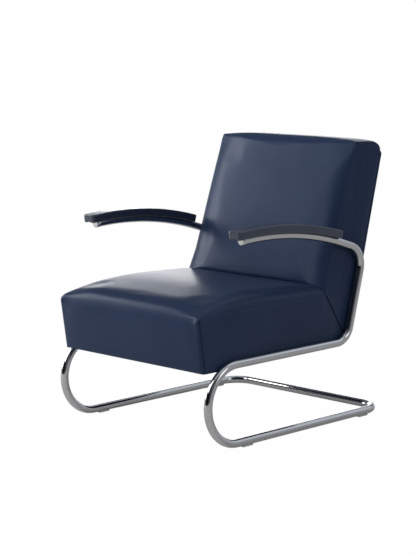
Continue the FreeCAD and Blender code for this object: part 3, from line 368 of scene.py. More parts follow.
def beech():
    """Pale frame timber: long grain, growth bands and small rays."""
    material, shader = new_material("frame_wood")
    place = shader.place()
    bands = shader.noise(place, 14.0, 4.0, 0.6, stretch=(0.35, 2.2, 2.2))
    rays = shader.noise(place, 260.0, 3.0, 0.6, stretch=(0.2, 1.0, 1.0))
    colour = shader.mixed(bands.band(0.35, 0.65), (0.42, 0.26, 0.14, 1.0), (0.56, 0.38, 0.22, 1.0))
    flecked = shader.mixed(rays.band(0.6, 0.72) * 0.5, colour, (0.28, 0.16, 0.08, 1.0))
    normal = shader.bump(bands * 0.5 + rays * 0.5, 0.2, 0.0006)
    return principled(shader, material, {
        "Base Color": flecked, "Roughness": 0.62 + (rays - 0.5) * 0.15, "Normal": normal,
    })


def woven_strap():
    """Elastic webbing: warp and weft that pass over and under."""
    material, shader = new_material("webbing")
    place = shader.place()
    threads = []
    for direction, scale in (("X", 160.0), ("Z", 220.0)):
        inputs = {"Vector": place, "Scale": scale, "Distortion": 0.4}
        threads.append(shader.node("ShaderNodeTexWave", {"bands_direction": direction}, inputs))
    warp, weft = threads
    weave = shader.node("ShaderNodeMath", {"operation": "MAXIMUM"}, {0: warp, 1: weft})
    colour = shader.mixed(weave, (0.02, 0.018, 0.016, 1.0), (0.12, 0.10, 0.08, 1.0))
    return principled(shader, material, {
        "Base Color": colour, "Roughness": 0.85, "Normal": shader.bump(weave, 0.5, 0.0008),
    })


def spun_cloth(name, dark, light):
    """Thin felted cloth: matted fibres with a fuzzy surface."""
    material, shader = new_material(name)
    place = shader.place()
    fibres = shader.noise(place, 520.0, 6.0, 0.7, stretch=(1.0, 0.4, 1.0))
    crossed = shader.noise(place, 520.0, 6.0, 0.7, stretch=(0.4, 1.0, 1.0))
    matted = fibres * 0.5 + crossed * 0.5
    colour = shader.mixed(matted.band(0.35, 0.65), dark, light)
    return principled(shader, material, {
        "Base Color": colour, "Roughness": 0.92, "Normal": shader.bump(matted, 0.4, 0.0006),
    })


def steel(name, base, roughness, fleck):
    """Plated or tempered steel with a mottled coat and light scuffs."""
    material, shader = new_material(name)
    place = shader.place()
    mottle = shader.noise(place, 180.0, 4.0, 0.6)
    scuffs = shader.noise(place, 700.0, 2.0, 0.5, stretch=(1.0, 5.0, 1.0))
    colour = shader.mixed(mottle.band(0.4, 0.7), base, fleck)
    return principled(shader, material, {
        "Base Color": colour, "Metallic": 1.0, "Roughness": roughness + (scuffs - 0.5) * 0.15,
        "Normal": shader.bump(scuffs, 0.08, 0.0002),
    })


def clear_plastic():
    """Clear moulded glide, faintly cloudy where it has worn on the floor."""
    material, shader = new_material("clear_glide")
    place = shader.place()
    worn = shader.noise(place, 300.0, 3.0, 0.6)
    colour = shader.mixed(worn.band(0.5, 0.8), (0.86, 0.88, 0.90, 1.0), (0.70, 0.72, 0.74, 1.0))
    return principled(shader, material, {
        "Base Color": colour, "Roughness": 0.12 + worn * 0.12, "IOR": 1.49, "Transmission Weight": 0.75,
    })


# meshes


def new_piece(name, points, faces, material):
    """A mesh object whose points are in metres in the chair's frame."""
    mesh = bpy.data.meshes.new(name)
    mesh.from_pydata([tuple(point) for point in points], [], faces)
    mesh.validate()
    piece = bpy.data.objects.new(name, mesh)
    bpy.context.scene.collection.objects.link(piece)
    mesh.materials.append(material)
    mesh.polygons.foreach_set("use_smooth", [True] * len(mesh.polygons))
    return piece


def bent_path(start, heading, moves, arc_step):
    """Points along straights ("length",) and bends (radius, angle, axis), from a start and a heading."""
    place = Vector(start)
    heading = Vector(heading)
    points = [place.copy()]
    for move in moves:
        if len(move) == 1:
            steps = max(1, round(move[0] / 60))
            for _ in range(steps):
                place += heading * (move[0] / steps)
                points.append(place.copy())
            continue
        radius, angle, axis = move
        inwards = axis.cross(heading) * math.copysign(1, angle)
        centre = place + inwards * radius
        steps = max(2, math.ceil(math.radians(abs(angle)) * radius / arc_step), math.ceil(abs(angle) / 5))
        turn = Quaternion(axis, math.radians(angle / steps))
        for _ in range(steps):
            place = centre + turn @ (place - centre)
            heading = turn @ heading
            points.append(place.copy())
    return points


def swept_tube(path, profile):
    """Rings of a round section along a path. The profile lists (distance along from the start, radius)
    rings added inside each open end. Returns points and faces."""
    tangents = []
    for index in range(len(path)):
        before = path[max(index - 1, 0)]
        after = path[min(index + 1, len(path) - 1)]
        tangents.append((after - before).normalized())
    across = X_AXIS.cross(tangents[0])
    if across.length < 0.1:
        across = Z_AXIS.cross(tangents[0])
    across.normalize()
    rings = []
    for index, point in enumerate(path):
        if index:
            across = tangents[index - 1].rotation_difference(tangents[index]) @ across
        across = (across - tangents[index] * across.dot(tangents[index])).normalized()
        rings.append((point, tangents[index], across))
    ordered = [(rings[0], depth, radius) for depth, radius in reversed(profile)]
    ordered += [(ring, 0.0, TUBE_RADIUS) for ring in rings]
    ordered += [(rings[-1], -depth, radius) for depth, radius in profile]
    points = []
    for (point, along, across), depth, radius in ordered:
        side = along.cross(across)
        centre = point + along * depth
        for index in range(TUBE_SIDES):
            angle = 2 * math.pi * index / TUBE_SIDES
            points.append((centre + (across * math.cos(angle) + side * math.sin(angle)) * radius) * MM)
    faces = []
    for ring in range(len(ordered) - 1):
        for index in range(TUBE_SIDES):
            following = (index + 1) % TUBE_SIDES
            a, b = ring * TUBE_SIDES, (ring + 1) * TUBE_SIDES
            faces.append((a + index, a + following, b + following, b + index))
    return points, faces


def frame_tube(material):
    """The whole frame as the one bent tube it is: base loop, front bends, rails, uprights and arms."""
    moves = [
        (SIDE_X - BASE_CORNER_RADIUS,),
        (BASE_CORNER_RADIUS, -90, Z_AXIS),
        (BASE_DEPTH - BASE_CORNER_RADIUS,),
        (BEND_HEIGHT / 2, -180, X_AXIS),
        (RAIL_LENGTH,),
        (REAR_BEND_RADIUS, 90 - UPRIGHT_LEAN, X_AXIS),
        (UPRIGHT_LENGTH,),
        (ARM_BEND_RADIUS, 90 + UPRIGHT_LEAN - ARM_RISE, X_AXIS),
        (ARM_STRAIGHT,),
        (ARM_ARCH_RADIUS, ARM_ARCH_TURN, X_AXIS),
    ]
    left = bent_path((0, BASE_DEPTH + SHIFT_Y, RUNNER_Z), X_AXIS, moves, TUBE_ARC_STEP)
    right = [Vector((-point.x, point.y, point.z)) for point in reversed(left[1:])]
    bore = TUBE_RADIUS - TUBE_WALL
    profile = [(TUBE_LIP, bore), (3 * TUBE_RADIUS, bore)]
    points, faces = swept_tube(right + left, profile)
    tube = new_piece("bent_tube", points, faces, material)
    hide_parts("base_tube", "left_side_tube", "right_side_tube")
    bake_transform(tube)
    return tube


# upholstery forms


def fullness_at(x, roll):
    """0 at a cushion's flat side, rising on a quarter round to 1 where its top begins."""
    inside = min(HALF_WIDTH - abs(x), roll)
    return math.sqrt(max(0.0, 1 - (1 - inside / roll) ** 2))


def seat_corners(x):
    """Side view of the seat at a place across it: (y, z, radius) of each corner, from the front bottom."""
    full = fullness_at(x, SEAT_ROLL)
    crown = 1 - (x / HALF_WIDTH) ** 2
    face = -SEAT_FRONT_REACH - SEAT_FRONT_FLARE + 4 * (1 - full)
    peak = SEAT_SIDE_TOP + 2 + (SEAT_RISE + SEAT_LENGTH_CROWN / 2) * full + SEAT_CROWN * crown
    rear_top = SEAT_SIDE_TOP - 2 + SEAT_RISE * full
    rear_y = MITRE_TOP_Y - (rear_top - SEAT_SIDE_TOP) * MITRE_SLOPE
    return [
        (-SEAT_FRONT_REACH, SEAT_Z, 3.0),
        (SEAT_HEEL_Y, SEAT_Z, 4.0),
        (MITRE_FOOT_Y - MITRE_HEEL_RISE * MITRE_SLOPE, SEAT_Z + MITRE_HEEL_RISE, 3.0),
        (rear_y, rear_top, 6 + 6 * full),
        (SEAT_PEAK_Y, peak, SEAT_PEAK_RADIUS),
        (
            face,
            SEAT_SIDE_TOP + (SEAT_RISE - 5) * full,
            SIDE_RADIUS + (SEAT_FRONT_RADIUS - SIDE_RADIUS) * full,
        ),
    ]


def back_corners(x):
    """Side view of the back: mitred foot, heel, rear top, front top and the place where it meets the seat."""
    full = fullness_at(x, BACK_ROLL)
    crown = 1 - (x / HALF_WIDTH) ** 4
    front_slope = math.tan(math.radians(BACK_FRONT_LEAN))
    rear_slope = math.tan(math.radians(BACK_LEAN))
    lead = 2 + BACK_SETBACK * full + BACK_CROWN * crown
    face = MITRE_TOP_Y - lead
    front_top = SEAT_Z + BACK_HEIGHT - BACK_TOP_DROP * (1 - full)
    rear_top = front_top - BACK_TOP_FALL
    join = lead / (front_slope + MITRE_SLOPE)
    return [
        (MITRE_FOOT_Y - MITRE_HEEL_RISE * MITRE_SLOPE, SEAT_Z + MITRE_HEEL_RISE, 3.0),
        (MITRE_FOOT_Y + BACK_HEEL_RISE * rear_slope, SEAT_Z + BACK_HEEL_RISE, 4.0),
        (MITRE_FOOT_Y + (rear_top - SEAT_Z) * rear_slope, rear_top, BACK_EDGE_RADIUS),
        (
            face + (front_top - SEAT_SIDE_TOP) * front_slope,
            front_top,
            SIDE_RADIUS + (BACK_EDGE_RADIUS - SIDE_RADIUS) * full,
        ),
        (face + join * front_slope, SEAT_SIDE_TOP + join, SIDE_RADIUS),
    ]


def inset_corners(corners, insets):
    """Move each side of an outline in by its own distance."""
    count = len(corners)
    points = [Vector(corner[:2]) for corner in corners]
    lines = []
    for index, point in enumerate(points):
        run = (points[(index + 1) % count] - point).normalized()
        lines.append((point + Vector((-run.y, run.x)) * insets[index], run))
    moved = []
    for index, (_, _, radius) in enumerate(corners):
        before, before_run = lines[index - 1]
        after, after_run = lines[index]
        gap = after - before
        reach = gap.cross(after_run) / before_run.cross(after_run)
        corner = before + before_run * reach
        moved.append((corner.x, corner.y, radius))
    return moved


def rounded_outline(corners, arc_steps, line_steps):
    """Points of an outline with rounded corners; the same number at every place across a cushion."""
    count = len(corners)
    arcs = []
    for index, (y, z, radius) in enumerate(corners):
        corner = Vector((y, z))
        before = (Vector(corners[index - 1][:2]) - corner).normalized()
        after = (Vector(corners[(index + 1) % count][:2]) - corner).normalized()
        half = before.angle(after) / 2
        centre = corner + (before + after).normalized() * (radius / math.sin(half))
        start = corner + before * (radius / math.tan(half)) - centre
        turn = math.pi - 2 * half
        arc = []
        for step in range(arc_steps[index] + 1):
            angle = turn * step / arc_steps[index]
            spoke = Vector((
                start.x * math.cos(angle) - start.y * math.sin(angle),
                start.x * math.sin(angle) + start.y * math.cos(angle),
            ))
            arc.append(centre + spoke)
        arcs.append(arc)
    points = []
    for index, arc in enumerate(arcs):
        points += arc
        following = arcs[(index + 1) % count][0]
        for step in range(1, line_steps[index]):
            points.append(arc[-1].lerp(following, step / line_steps[index]))
    return points


EDGE_ANGLES = (0, 2, 4.5, 8, 13, 20, 28, 37, 47, 58, 69, 80, 90)
PANEL_INSETS = (1.2, 2.6, 4.6, 8, 13, 20, 28, 37, 47, 57, 67)
TOP_SPANS = 54


def places_across(roll):
    """Places from the left side to the right: close together at the edges, even across the top."""
    edge = [HALF_WIDTH - roll * (1 - math.cos(math.radians(angle))) for angle in EDGE_ANGLES]
    flat = HALF_WIDTH - roll
    middle = [flat - 2 * flat * step / TOP_SPANS for step in range(1, TOP_SPANS)]
    return edge + middle + [-x for x in reversed(edge)]


def panel_rings(outline):
    """Rings over a flat side panel, each drawn in from its outline towards the panel's middle line."""
    flat = np.array([(point.y, point.z) for point in outline])
    centre = flat.mean(axis=0)
    _, directions = np.linalg.eigh(np.cov((flat - centre).T))
    along = (flat - centre) @ directions[:, 1]
    across = (flat - centre) @ directions[:, 0]
    centre = centre + directions[:, 1] * (along.max() + along.min()) / 2
    centre = centre + directions[:, 0] * (across.max() + across.min()) / 2
    half = (np.ptp(along) - np.ptp(across)) / 2
    reach = np.clip((flat - centre) @ directions[:, 1], -half, half)
    target = centre + np.outer(reach, directions[:, 1])
    depth = np.ptp(across) / 2
    rings = []
    for inset in PANEL_INSETS:
        ring = flat + (target - flat) * min(inset / depth, 0.92)
        rings.append([Vector((outline[0].x, y, z)) for y, z in ring])
    return rings


def closing_fan(points, first, count, outwards):
    """Closes a ring of points with triangles to a new point at its middle, all turned outwards."""
    ring = points[first:first + count]
    middle = sum(ring, Vector()) / count
    apex = len(points)
    points.append(middle)
    area = sum(((a - middle).cross(b - middle) for a, b in zip(ring, ring[1:])), Vector())
    faces = []
    for index in range(count):
        a, b = first + index, first + (index + 1) % count
        faces.append((apex, a, b) if area.dot(outwards) > 0 else (apex, b, a))
    return faces


def pinched(point, corner, outwards, away, most, reach):
    """A point drawn in near a cushion's corner. It loses up to the share most of its height over the corner,
    measured along outwards, and less the further it lies from the side or, along away, from the corner."""
    gap = math.hypot(HALF_WIDTH - abs(point.x), max(0.0, (point - corner).dot(away)))
    share = most * math.exp(-((gap / reach) ** 2))
    over = max(0.0, (point - corner).dot(outwards))
    return point - outwards * (over * share)


def cushion_mesh(corners_at, roll, insets, arc_steps, line_steps, drawn_in):
    """Closed cushion of rings: side panel, roll, top and the same again. drawn_in moves each point of
    the rolls and the top. Returns points in millimetres, faces, the number of points in a ring and the
    indices of the rings at the two edges."""
    rings = []
    for x in places_across(roll):
        outline = rounded_outline(inset_corners(corners_at(x), insets), arc_steps, line_steps)
        ring = [Vector((x, point.x + SHIFT_Y, point.y)) for point in outline]
        rings.append([drawn_in(point) for point in ring])
    left = panel_rings(rings[0])
    ordered = left[::-1] + rings + panel_rings(rings[-1])
    count = len(rings[0])
    last = (len(ordered) - 1) * count
    points = [point for ring in ordered for point in ring]
    first_side = X_AXIS if points[0].x > 0 else -X_AXIS
    faces = closing_fan(points, 0, count, first_side) + closing_fan(points, last, count, -first_side)
    for ring in range(len(ordered) - 1):
        for index in range(count):
            following = (index + 1) % count
            a, b = ring * count, (ring + 1) * count
            faces.append((a + index, b + index, b + following, a + following))
    edges = (len(left), len(left) + len(rings) - 1)
    return points, faces, count, edges


def read_points(piece):
    points = np.empty(len(piece.data.vertices) * 3, np.float64)
    piece.data.vertices.foreach_get("co", points)
    return points.reshape(-1, 3)


def write_points(piece, points):
    piece.data.vertices.foreach_set("co", points.astype(np.float32).ravel())
    piece.data.update()


def read_normals(piece):
    normals = np.empty(len(piece.data.vertices) * 3, np.float64)
    piece.data.vertices.foreach_get("normal", normals)
    return normals.reshape(-1, 3)


def evened(piece, moves, held):
    """Moves of a cover's points averaged with their neighbours', so that no small wrinkle is left."""
    ends = np.empty(len(piece.data.edges) * 2, np.int32)
    piece.data.edges.foreach_get("vertices", ends)
    ends = ends.reshape(-1, 2)
    size = len(moves)
    shares = np.bincount(ends.ravel(), minlength=size) + 1
    free = 1 - np.clip(held, 0, 1)
    for _ in range(EVENING_ROUNDS):
        total = moves.copy()
        for axis in range(3):
            total[:, axis] += np.bincount(ends[:, 0], moves[ends[:, 1], axis], size)
            total[:, axis] += np.bincount(ends[:, 1], moves[ends[:, 0], axis], size)
        moves = total * (free / shares)[:, None]
    return moves


def inflate(piece, held):
    """Blow a cover out between the places where it is sewn or stapled; held is 1 where it can't move.
    No point moves further than the cover's reach."""
    group = piece.vertex_groups.new(name="held")
    for index, weight in enumerate(held):
        if weight > 0.01:
            group.add([index], float(weight), "REPLACE")
    start = read_points(piece)
    cloth = piece.modifiers.new("cloth", "CLOTH")
    cloth.settings.quality = 6
    cloth.settings.mass = 0.4
    cloth.settings.tension_stiffness = 40
    cloth.settings.compression_stiffness = 40
    cloth.settings.bending_stiffness = 4
    cloth.settings.vertex_group_mass = "held"
    cloth.settings.use_pressure = True
    cloth.settings.uniform_pressure_force = COVER_PRESSURE
    cloth.settings.effector_weights.gravity = 0
    cloth.point_cache.frame_start = 1
    cloth.point_cache.frame_end = CLOTH_STEPS
    for step in range(1, CLOTH_STEPS + 1):
        bpy.context.scene.frame_set(step)
    shaped = piece.evaluated_get(bpy.context.evaluated_depsgraph_get())
    blown = np.array([vertex.co for vertex in shaped.data.vertices])
    piece.modifiers.remove(cloth)
    piece.vertex_groups.remove(group)
    bpy.context.scene.frame_set(1)
    move = evened(piece, blown - start, held)
    length = np.linalg.norm(move, axis=1)
    limit = COVER_REACH * MM
    eased = limit * np.tanh(length / limit)
    write_points(piece, start + move * (eased / np.maximum(length, 1e-9))[:, None])


def subdivide(piece):
    """Each face cut in four, without a change of shape."""
    modifier = piece.modifiers.new("finer", "SUBSURF")
    modifier.subdivision_type = "SIMPLE"
    modifier.levels = 1
    modifier.render_levels = 1
    shaped = piece.evaluated_get(bpy.context.evaluated_depsgraph_get())
    mesh = bpy.data.meshes.new_from_object(shaped)
    piece.modifiers.clear()
    old = piece.data
    piece.data = mesh
    name = old.name
    bpy.data.meshes.remove(old)
    mesh.name = name
    mesh.polygons.foreach_set("use_smooth", [True] * len(mesh.polygons))


def line_distance(points, line):
    """Distance from each point to a line of points, and how far along the line it is from 0 to 1."""
    best = np.full(len(points), 1e9)
    where = np.zeros(len(points))
    spans = len(line) - 1
    for index in range(spans):
        start, run = line[index], line[index + 1] - line[index]
        share = np.clip((points - start) @ run / max(run @ run, 1e-12), 0, 1)
        gap = np.linalg.norm(points - start - share[:, None] * run, axis=1)
        nearer = gap < best
        best[nearer] = gap[nearer]
        where[nearer] = ((index + share) / spans)[nearer]
    return best, where


def carve(piece, line, depth, width, fade=(0.0, 0.0), paint_groove_shade=True):
    """Press a line into a cover, in millimetres; a negative depth raises a ridge. fade is the share of
    the line over which each end runs out. A marked groove goes into the seam attribute, which the leather
    darkens as painted shade."""
    points = read_points(piece)
    gap, where = line_distance(points, np.array(line) * MM)
    strength = np.exp(-(gap / (width * MM)) ** 2)
    if fade[0]:
        strength *= np.clip(where / fade[0], 0, 1)
    if fade[1]:
        strength *= np.clip((1 - where) / fade[1], 0, 1)
    write_points(piece, points - read_normals(piece) * (strength * depth * MM)[:, None])
    # the groove's strength is stored as the seam attribute, where the leather gets painted shade
    if paint_groove_shade:
        seam = piece.data.attributes.get("seam") or piece.data.attributes.new("seam", "FLOAT", "POINT")
        values = np.zeros(len(points), np.float32)
        seam.data.foreach_get("value", values)
        seam.data.foreach_set("value", np.maximum(values, strength ** 2).astype(np.float32))


def corner_round(x, radius):
    """How far a face lies back where it rounds into the side of a cushion."""
    inside = min(HALF_WIDTH - abs(x), radius)
    return radius - math.sqrt(radius ** 2 - (radius - inside) ** 2)


def shown_seat_corners(x):
    """The seat's outline, with its upright front corners rounded."""
    corners = seat_corners(x)
    back_off = corner_round(x, UPRIGHT_CORNER_RADIUS)
    for index in (0, 5):
        y, z, radius = corners[index]
        corners[index] = (y + back_off, z, radius)
    return corners


def mitre_line(side):
    """The seam between seat and back on one side panel, from the seat's top edge down to the heel."""
    top = Vector((side * HALF_WIDTH, MITRE_TOP_Y + SHIFT_Y, SEAT_SIDE_TOP))
    foot_y = MITRE_FOOT_Y - MITRE_HEEL_RISE * MITRE_SLOPE + SHIFT_Y
    return [top, Vector((side * HALF_WIDTH, foot_y, SEAT_Z + MITRE_HEEL_RISE))]


def seam_hold(coordinates, seams):
    """1 along the seams, running out over a few millimetres on either side."""
    held = np.zeros(len(coordinates))
    for seam in seams:
        gap, _ = line_distance(coordinates, np.array(seam))
        held = np.maximum(held, np.clip(1.6 - gap / 5, 0, 1))
    return held


def past_mitre(coordinates):
    """How far each point lies behind the plane where seat and back meet, along the chair's depth."""
    return coordinates[:, 1] - SHIFT_Y - (MITRE_FOOT_Y - (coordinates[:, 2] - SEAT_Z) * MITRE_SLOPE)


def seat_hold(coordinates, seams):
    """Where the seat's cover can't move: underside, mitre, heel, front seams and behind the side rails."""
    bottom = np.clip(1 - (coordinates[:, 2] - SEAT_Z - 1) / 6, 0, 1)
    rear = np.clip(1 + (past_mitre(coordinates) + 1.5) / 6, 0, 1)
    heel = coordinates[:, 1] - SHIFT_Y > SEAT_HEEL_Y - 10
    side = np.abs(coordinates[:, 0]) > HALF_WIDTH - 0.5
    low = coordinates[:, 2] < RAIL_Z + TUBE_RADIUS + 12
    held = np.maximum(np.maximum(bottom, rear), seam_hold(coordinates, seams))
    return np.maximum(held, np.where(side & low | heel, 1.0, 0.0))


def back_hold(coordinates, seams, side):
    """Where the back's cover can't move: rear, mitre, foot, top seams and beside the uprights."""
    slope = math.tan(math.radians(BACK_LEAN))
    behind = coordinates[:, 1] - SHIFT_Y - MITRE_FOOT_Y - (coordinates[:, 2] - SEAT_Z) * slope
    rear = np.clip(1 + (behind + PANEL_THICKNESS + 1.5) / 8, 0, 1)
    near_mitre = np.clip(1 - (past_mitre(coordinates) - 1.5) / 8, 0, 1)
    mitre = np.where(coordinates[:, 2] < SEAT_SIDE_TOP + 4, near_mitre, 0)
    low = coordinates[:, 2] < BACK_SIDE_HELD_TOP
    foot = coordinates[:, 2] < SEAT_Z + BACK_HEEL_RISE + 12
    held = np.maximum(np.maximum(rear, mitre), seam_hold(coordinates, seams))
    return np.maximum(held, np.where(side & low | foot, 1.0, 0.0))


def seat_cushion(material):
    arc_steps = (3, 3, 3, 5, 30, 12)
    line_steps = (36, 4, 18, 12, 12, 18)
    insets = (0, 0, UNIT_GAP / 2, 0, 0, 0)

    def drawn_in(point):
        corner = Vector((point.x, SHIFT_Y - SEAT_FRONT_REACH - SEAT_FRONT_FLARE, SEAT_SIDE_TOP))
        return pinched(point, corner, Z_AXIS, Y_AXIS, SEAT_PINCH, SEAT_PINCH_REACH)

    points, faces, count, edges = cushion_mesh(
        shown_seat_corners, SEAT_ROLL, insets, arc_steps, line_steps, drawn_in
    )
    seat = new_piece("seat_cushion", [point * MM for point in points], faces, material)
    front_start = count - line_steps[5]
    front_seams = []
    for ring in edges:
        line = [points[ring * count + index] for index in range(front_start, count)]
        front_seams.append(line + [points[ring * count]])
    coordinates = np.array([tuple(point) for point in points])
    inflate(seat, seat_hold(coordinates, front_seams))
    subdivide(seat)
    for seam, sign in zip(front_seams, (1, -1)):
        tip = seam[0]
        carve(seat, seam, 2.6, SEAM_WIDTH)
        fold = [tip, tip + Vector((-7 * sign, 3, 12)), tip + Vector((-20 * sign, 14, 26))]
        carve(seat, fold, 1.8, 6.0, (0.0, 0.7), paint_groove_shade=False)
        front_ridge = [tip + Vector((-9 * sign, -2, 2)), tip + Vector((-11 * sign, 0, -22))]
        side_ridge = [tip + Vector((0, 11, 2)), tip + Vector((0, 13, -22))]
        for ridge in (front_ridge, side_ridge):
            carve(seat, ridge, -1.3, 6.0, (0.2, 0.6), paint_groove_shade=False)
    for side in (1, -1):
        carve(seat, mitre_line(side), MITRE_SEAM_DEPTH, MITRE_SEAM_WIDTH)
    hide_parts("seat_cover", "seat_foam", "seat_felt")
    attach(seat, "seat")
    return seat


def back_cushion(material):
    arc_steps = (3, 3, 8, 10, 3)
    line_steps = (6, 56, 6, 44, 18)
    insets = (0, PANEL_THICKNESS + SOFT_GAP, 0, 0, UNIT_GAP / 2)
    lean = math.radians(BACK_FRONT_LEAN)
    ahead = Vector((0, -math.cos(lean), math.sin(lean)))
    upwards = Vector((0, math.sin(lean), math.cos(lean)))
    side_top = SEAT_Z + BACK_HEIGHT - BACK_TOP_DROP
    side_face = MITRE_TOP_Y - 2 + (side_top - SEAT_SIDE_TOP) * math.tan(lean) + SHIFT_Y

    def drawn_in(point):
        corner = Vector((point.x, side_face, side_top))
        lowered = pinched(point, corner, Z_AXIS, ahead, BACK_PINCH, BACK_PINCH_REACH)
        return pinched(lowered, corner, ahead, -upwards, BACK_PINCH, BACK_PINCH_REACH)

    points, faces, count, edges = cushion_mesh(
        back_corners, BACK_ROLL, insets, arc_steps, line_steps, drawn_in
    )
    side = np.array([abs(point.x) > HALF_WIDTH - 0.5 for point in points])
    for point in points:
        depth = (point - Vector((point.x, side_face, side_top))).dot(ahead)
        forward = min(max(1 + depth / BACK_TAPER_DEPTH, 0), 1)
        raised = min(max((point.z - SEAT_SIDE_TOP) / BACK_TAPER_RISE, 0), 1)
        point.x *= 1 - BACK_TAPER * (forward * raised) / HALF_WIDTH
    back = new_piece("back_cushion", [point * MM for point in points], faces, material)
    coordinates = np.array([tuple(point) for point in points])
    rear_turn = sum(arc_steps[:2]) + sum(line_steps[:2])
    front_turn = rear_turn + arc_steps[2] + line_steps[2] + arc_steps[3]
    top_seams = []
    for ring in edges:
        top_seams.append([points[ring * count + index] for index in range(rear_turn + 2, front_turn)])
    inflate(back, back_hold(coordinates, top_seams, side))
    subdivide(back)
    for seam, sign in zip(top_seams, (1, -1)):
        tip = seam[-1]
        carve(back, seam, 2.2, SEAM_WIDTH)
        fold = [tip, tip + Vector((-6 * sign, -3, -4)), tip + Vector((-24 * sign, -8, -10))]
        carve(back, fold, 1.4, 5.0, (0.0, 0.7), paint_groove_shade=False)
    for side in (1, -1):
        carve(back, mitre_line(side), MITRE_SEAM_DEPTH, MITRE_SEAM_WIDTH)
    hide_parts("back_cover", "back_foam")
    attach(back, "seat")
    return back


def leaning_place(x, across, up):
    """A place in the back's own frame: across is towards the rear, up runs along the lean."""
    lean = math.radians(BACK_LEAN)
    y = MITRE_FOOT_Y + SHIFT_Y + across * math.cos(lean) + up * math.sin(lean)
    z = SEAT_Z - across * math.sin(lean) + up * math.cos(lean)
    return Vector((x, y, z))


def rounded_rectangle(half, low, high, radius, steps):
    """Points round an upright rectangle, anticlockwise from its lower right corner, as pairs."""
    centres = [
        (half - radius, low + radius, -90),
        (half - radius, high - radius, 0),
        (-half + radius, high - radius, 90),
        (-half + radius, low + radius, 180),
    ]
    points = []
    for x, up, start in centres:
        for step in range(steps + 1):
            angle = math.radians(start + 90 * step / steps)
            points.append((x + radius * math.cos(angle), up + radius * math.sin(angle)))
    return points


def even_spans(points, span):
    """The same closed outline with its long straights cut into short ones."""
    result = []
    for index, point in enumerate(points):
        following = points[(index + 1) % len(points)]
        pieces = max(1, round(math.dist(point, following) / span))
        for step in range(pieces):
            share = step / pieces
            x = point[0] + (following[0] - point[0]) * share
            up = point[1] + (following[1] - point[1]) * share
            result.append((x, up))
    return result


def rear_panel(material):
    """Leather drawn flat over the rear board, with rounded edges and a welt all round it."""
    half = HALF_WIDTH - SOFT_GAP
    lean = math.cos(math.radians(BACK_LEAN))
    low = BACK_HEEL_RISE / lean + 3 * LEATHER
    high = (BACK_HEIGHT - BACK_TOP_DROP - BACK_TOP_FALL) / lean - BACK_EDGE_RADIUS
    middle = (low + high) / 2
    outline = even_spans(rounded_rectangle(half, low, high, 4.0, 4), 12)
    rings = [(0.6, -PANEL_THICKNESS), (0.0, -PANEL_THICKNESS + 1.0), (0.0, -PANEL_EDGE_RADIUS)]
    for step in range(1, 5):
        angle = math.radians(90 * step / 4)
        rings.append((PANEL_EDGE_RADIUS * (1 - math.cos(angle)), PANEL_EDGE_RADIUS * (math.sin(angle) - 1)))
    rings += [(inset, 0.0) for inset in (5, 9, 14, 22, 34, 50, 75, 105, 140, 180, 225)]
    points = []
    for inset, across in rings:
        for x, up in outline:
            shrink_x = 1 - inset / half
            shrink_up = 1 - inset / (middle - low)
            points.append(leaning_place(x * shrink_x, across, middle + (up - middle) * shrink_up) * MM)
    count = len(outline)
    faces = [tuple(range(count))]
    for ring in range(len(rings) - 1):
        for index in range(count):
            following = (index + 1) % count
            a, b = ring * count, (ring + 1) * count
            faces.append((a + index, b + index, b + following, a + following))
    last = (len(rings) - 1) * count
    faces += closing_fan(points, last, count, leaning_place(0, 1, 0) - leaning_place(0, 0, 0))
    panel = new_piece("rear_panel", points, faces, material)
    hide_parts("back_panel")
    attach(panel, "seat")
    welt_line = even_spans(rounded_rectangle(half, low, high, 5.0, 4), 12)
    welt_path = [leaning_place(x, -PANEL_THICKNESS, up) for x, up in welt_line]
    welt = closed_cord("rear_welt", welt_path, WELT_RADIUS, material)
    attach(welt, "seat")
    return panel


def closed_cord(name, path, radius, material):
    """A round cord along a closed line, with the section turned outwards from the line's middle."""
    count = len(path)
    middle = sum(path, Vector()) / count
    points = []
    for index, point in enumerate(path):
        along = (path[(index + 1) % count] - path[index - 1]).normalized()
        outwards = point - middle
        outwards = (outwards - along * outwards.dot(along)).normalized()
        side = along.cross(outwards)
        for step in range(WELT_SIDES):
            angle = 2 * math.pi * step / WELT_SIDES
            points.append((point + (outwards * math.cos(angle) + side * math.sin(angle)) * radius) * MM)
    faces = []
    for ring in range(count):
        for step in range(WELT_SIDES):
            following = (step + 1) % WELT_SIDES
            a, b = ring * WELT_SIDES, (ring + 1) % count * WELT_SIDES
            faces.append((a + step, a + following, b + following, b + step))
    return new_piece(name, points, faces, material)


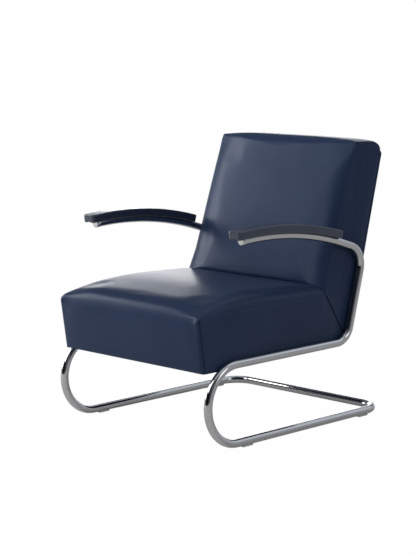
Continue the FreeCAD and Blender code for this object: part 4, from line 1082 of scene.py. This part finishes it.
def dust_cover(material):
    """Cloth stapled under the seat frame: flat at its edges, with a slight sag and soft ripples."""
    half = HALF_WIDTH - LEATHER - SOFT_GAP
    front = -SEAT_FRONT_REACH + LEATHER + SOFT_GAP
    rear = SEAT_HEEL_Y - 4 * LEATHER
    spans = 60
    points = []
    for layer in (0.0, DUST_COVER):
        for row in range(spans + 1):
            v = row / spans
            for column in range(spans + 1):
                u = column / spans
                edge = min(u, 1 - u, v, 1 - v) / 0.08
                slack = min(1.0, edge) * math.sin(math.pi * u) * math.sin(math.pi * v)
                ripple = 0.5 * math.sin(9 * math.pi * v) * max(0.0, 1 - abs(edge - 0.6))
                z = SEAT_Z + SOFT_GAP + layer - 2.5 * slack + ripple * min(1.0, edge)
                place = Vector((-half + 2 * half * u, front + (rear - front) * v + SHIFT_Y, z))
                points.append(place * MM)
    row_points = spans + 1
    layer_points = row_points ** 2
    faces = []
    for row in range(spans):
        for column in range(spans):
            a = row * row_points + column
            faces.append((a, a + row_points, a + row_points + 1, a + 1))
            b = a + layer_points
            faces.append((b, b + 1, b + row_points + 1, b + row_points))
    rim = list(range(spans))
    rim += [row * row_points + spans for row in range(spans)]
    rim += [spans * row_points + spans - column for column in range(spans)]
    rim += [(spans - row) * row_points for row in range(spans)]
    for index, a in enumerate(rim):
        b = rim[(index + 1) % len(rim)]
        faces.append((a, b, b + layer_points, a + layer_points))
    cloth = new_piece("dust_cover", points, faces, material)
    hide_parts("seat_dust_cover")
    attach(cloth, "seat")
    return cloth


def dress_nodes(finishes):
    """Give every carried-over node its finish."""
    for node, material in finishes.items():
        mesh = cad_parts[node].data
        mesh.materials.clear()
        mesh.materials.append(material)


add_camera()
stage_world()
add_floor()
add_softbox("key", (-1.6, -3.2, 3.2), (0, 0, 0.45), 2.4, 2.4, 55)
add_softbox("rim", (-2.9, 2.8, 0.95), (0, 0, 0.45), 2.2, 0.8, 16)
add_softbox("strip", (-3.06, -1.18, 1.5), (-0.1, 0.25, 0.65), 1.2, 2.4, 60)
add_softbox("side", (3.6, 0.6, 2.2), (0, 0, 0.4), 1.4, 2.0, 12)
bpy.context.scene.view_settings.view_transform = "Standard"

hide = leather()
plated = steel("plated_steel", (0.50, 0.50, 0.49, 1.0), 0.32, (0.58, 0.57, 0.52, 1.0))
bright = chrome()
pad_finish = lacquer()
timber = beech()
frame_tube(bright)
seat_cushion(hide)
back_cushion(hide)
rear_panel(hide)
dust_cover(spun_cloth("dust_cloth", (0.006, 0.006, 0.007, 1.0), (0.022, 0.022, 0.024, 1.0)))
dress_nodes({
    "left_tube_cap": bright,
    "right_tube_cap": bright,
    "left_armrest": pad_finish,
    "right_armrest": pad_finish,
    "armrest_screws": plated,
    "seat_bolts": plated,
    "back_bolts": plated,
    "seat_spacers": plated,
    "back_spacers": plated,
    "tube_nuts": plated,
    "floor_glides": clear_plastic(),
    "seat_left_rail": timber,
    "seat_right_rail": timber,
    "seat_front_rail": timber,
    "seat_rear_rail": timber,
    "seat_corner_blocks": timber,
    "back_left_stile": timber,
    "back_right_stile": timber,
    "back_top_rail": timber,
    "back_bottom_rail": timber,
    "seat_springs": steel("spring_steel", (0.16, 0.15, 0.15, 1.0), 0.38, (0.24, 0.22, 0.20, 1.0)),
    "spring_clips": plated,
    "back_webbing": woven_strap(),
})
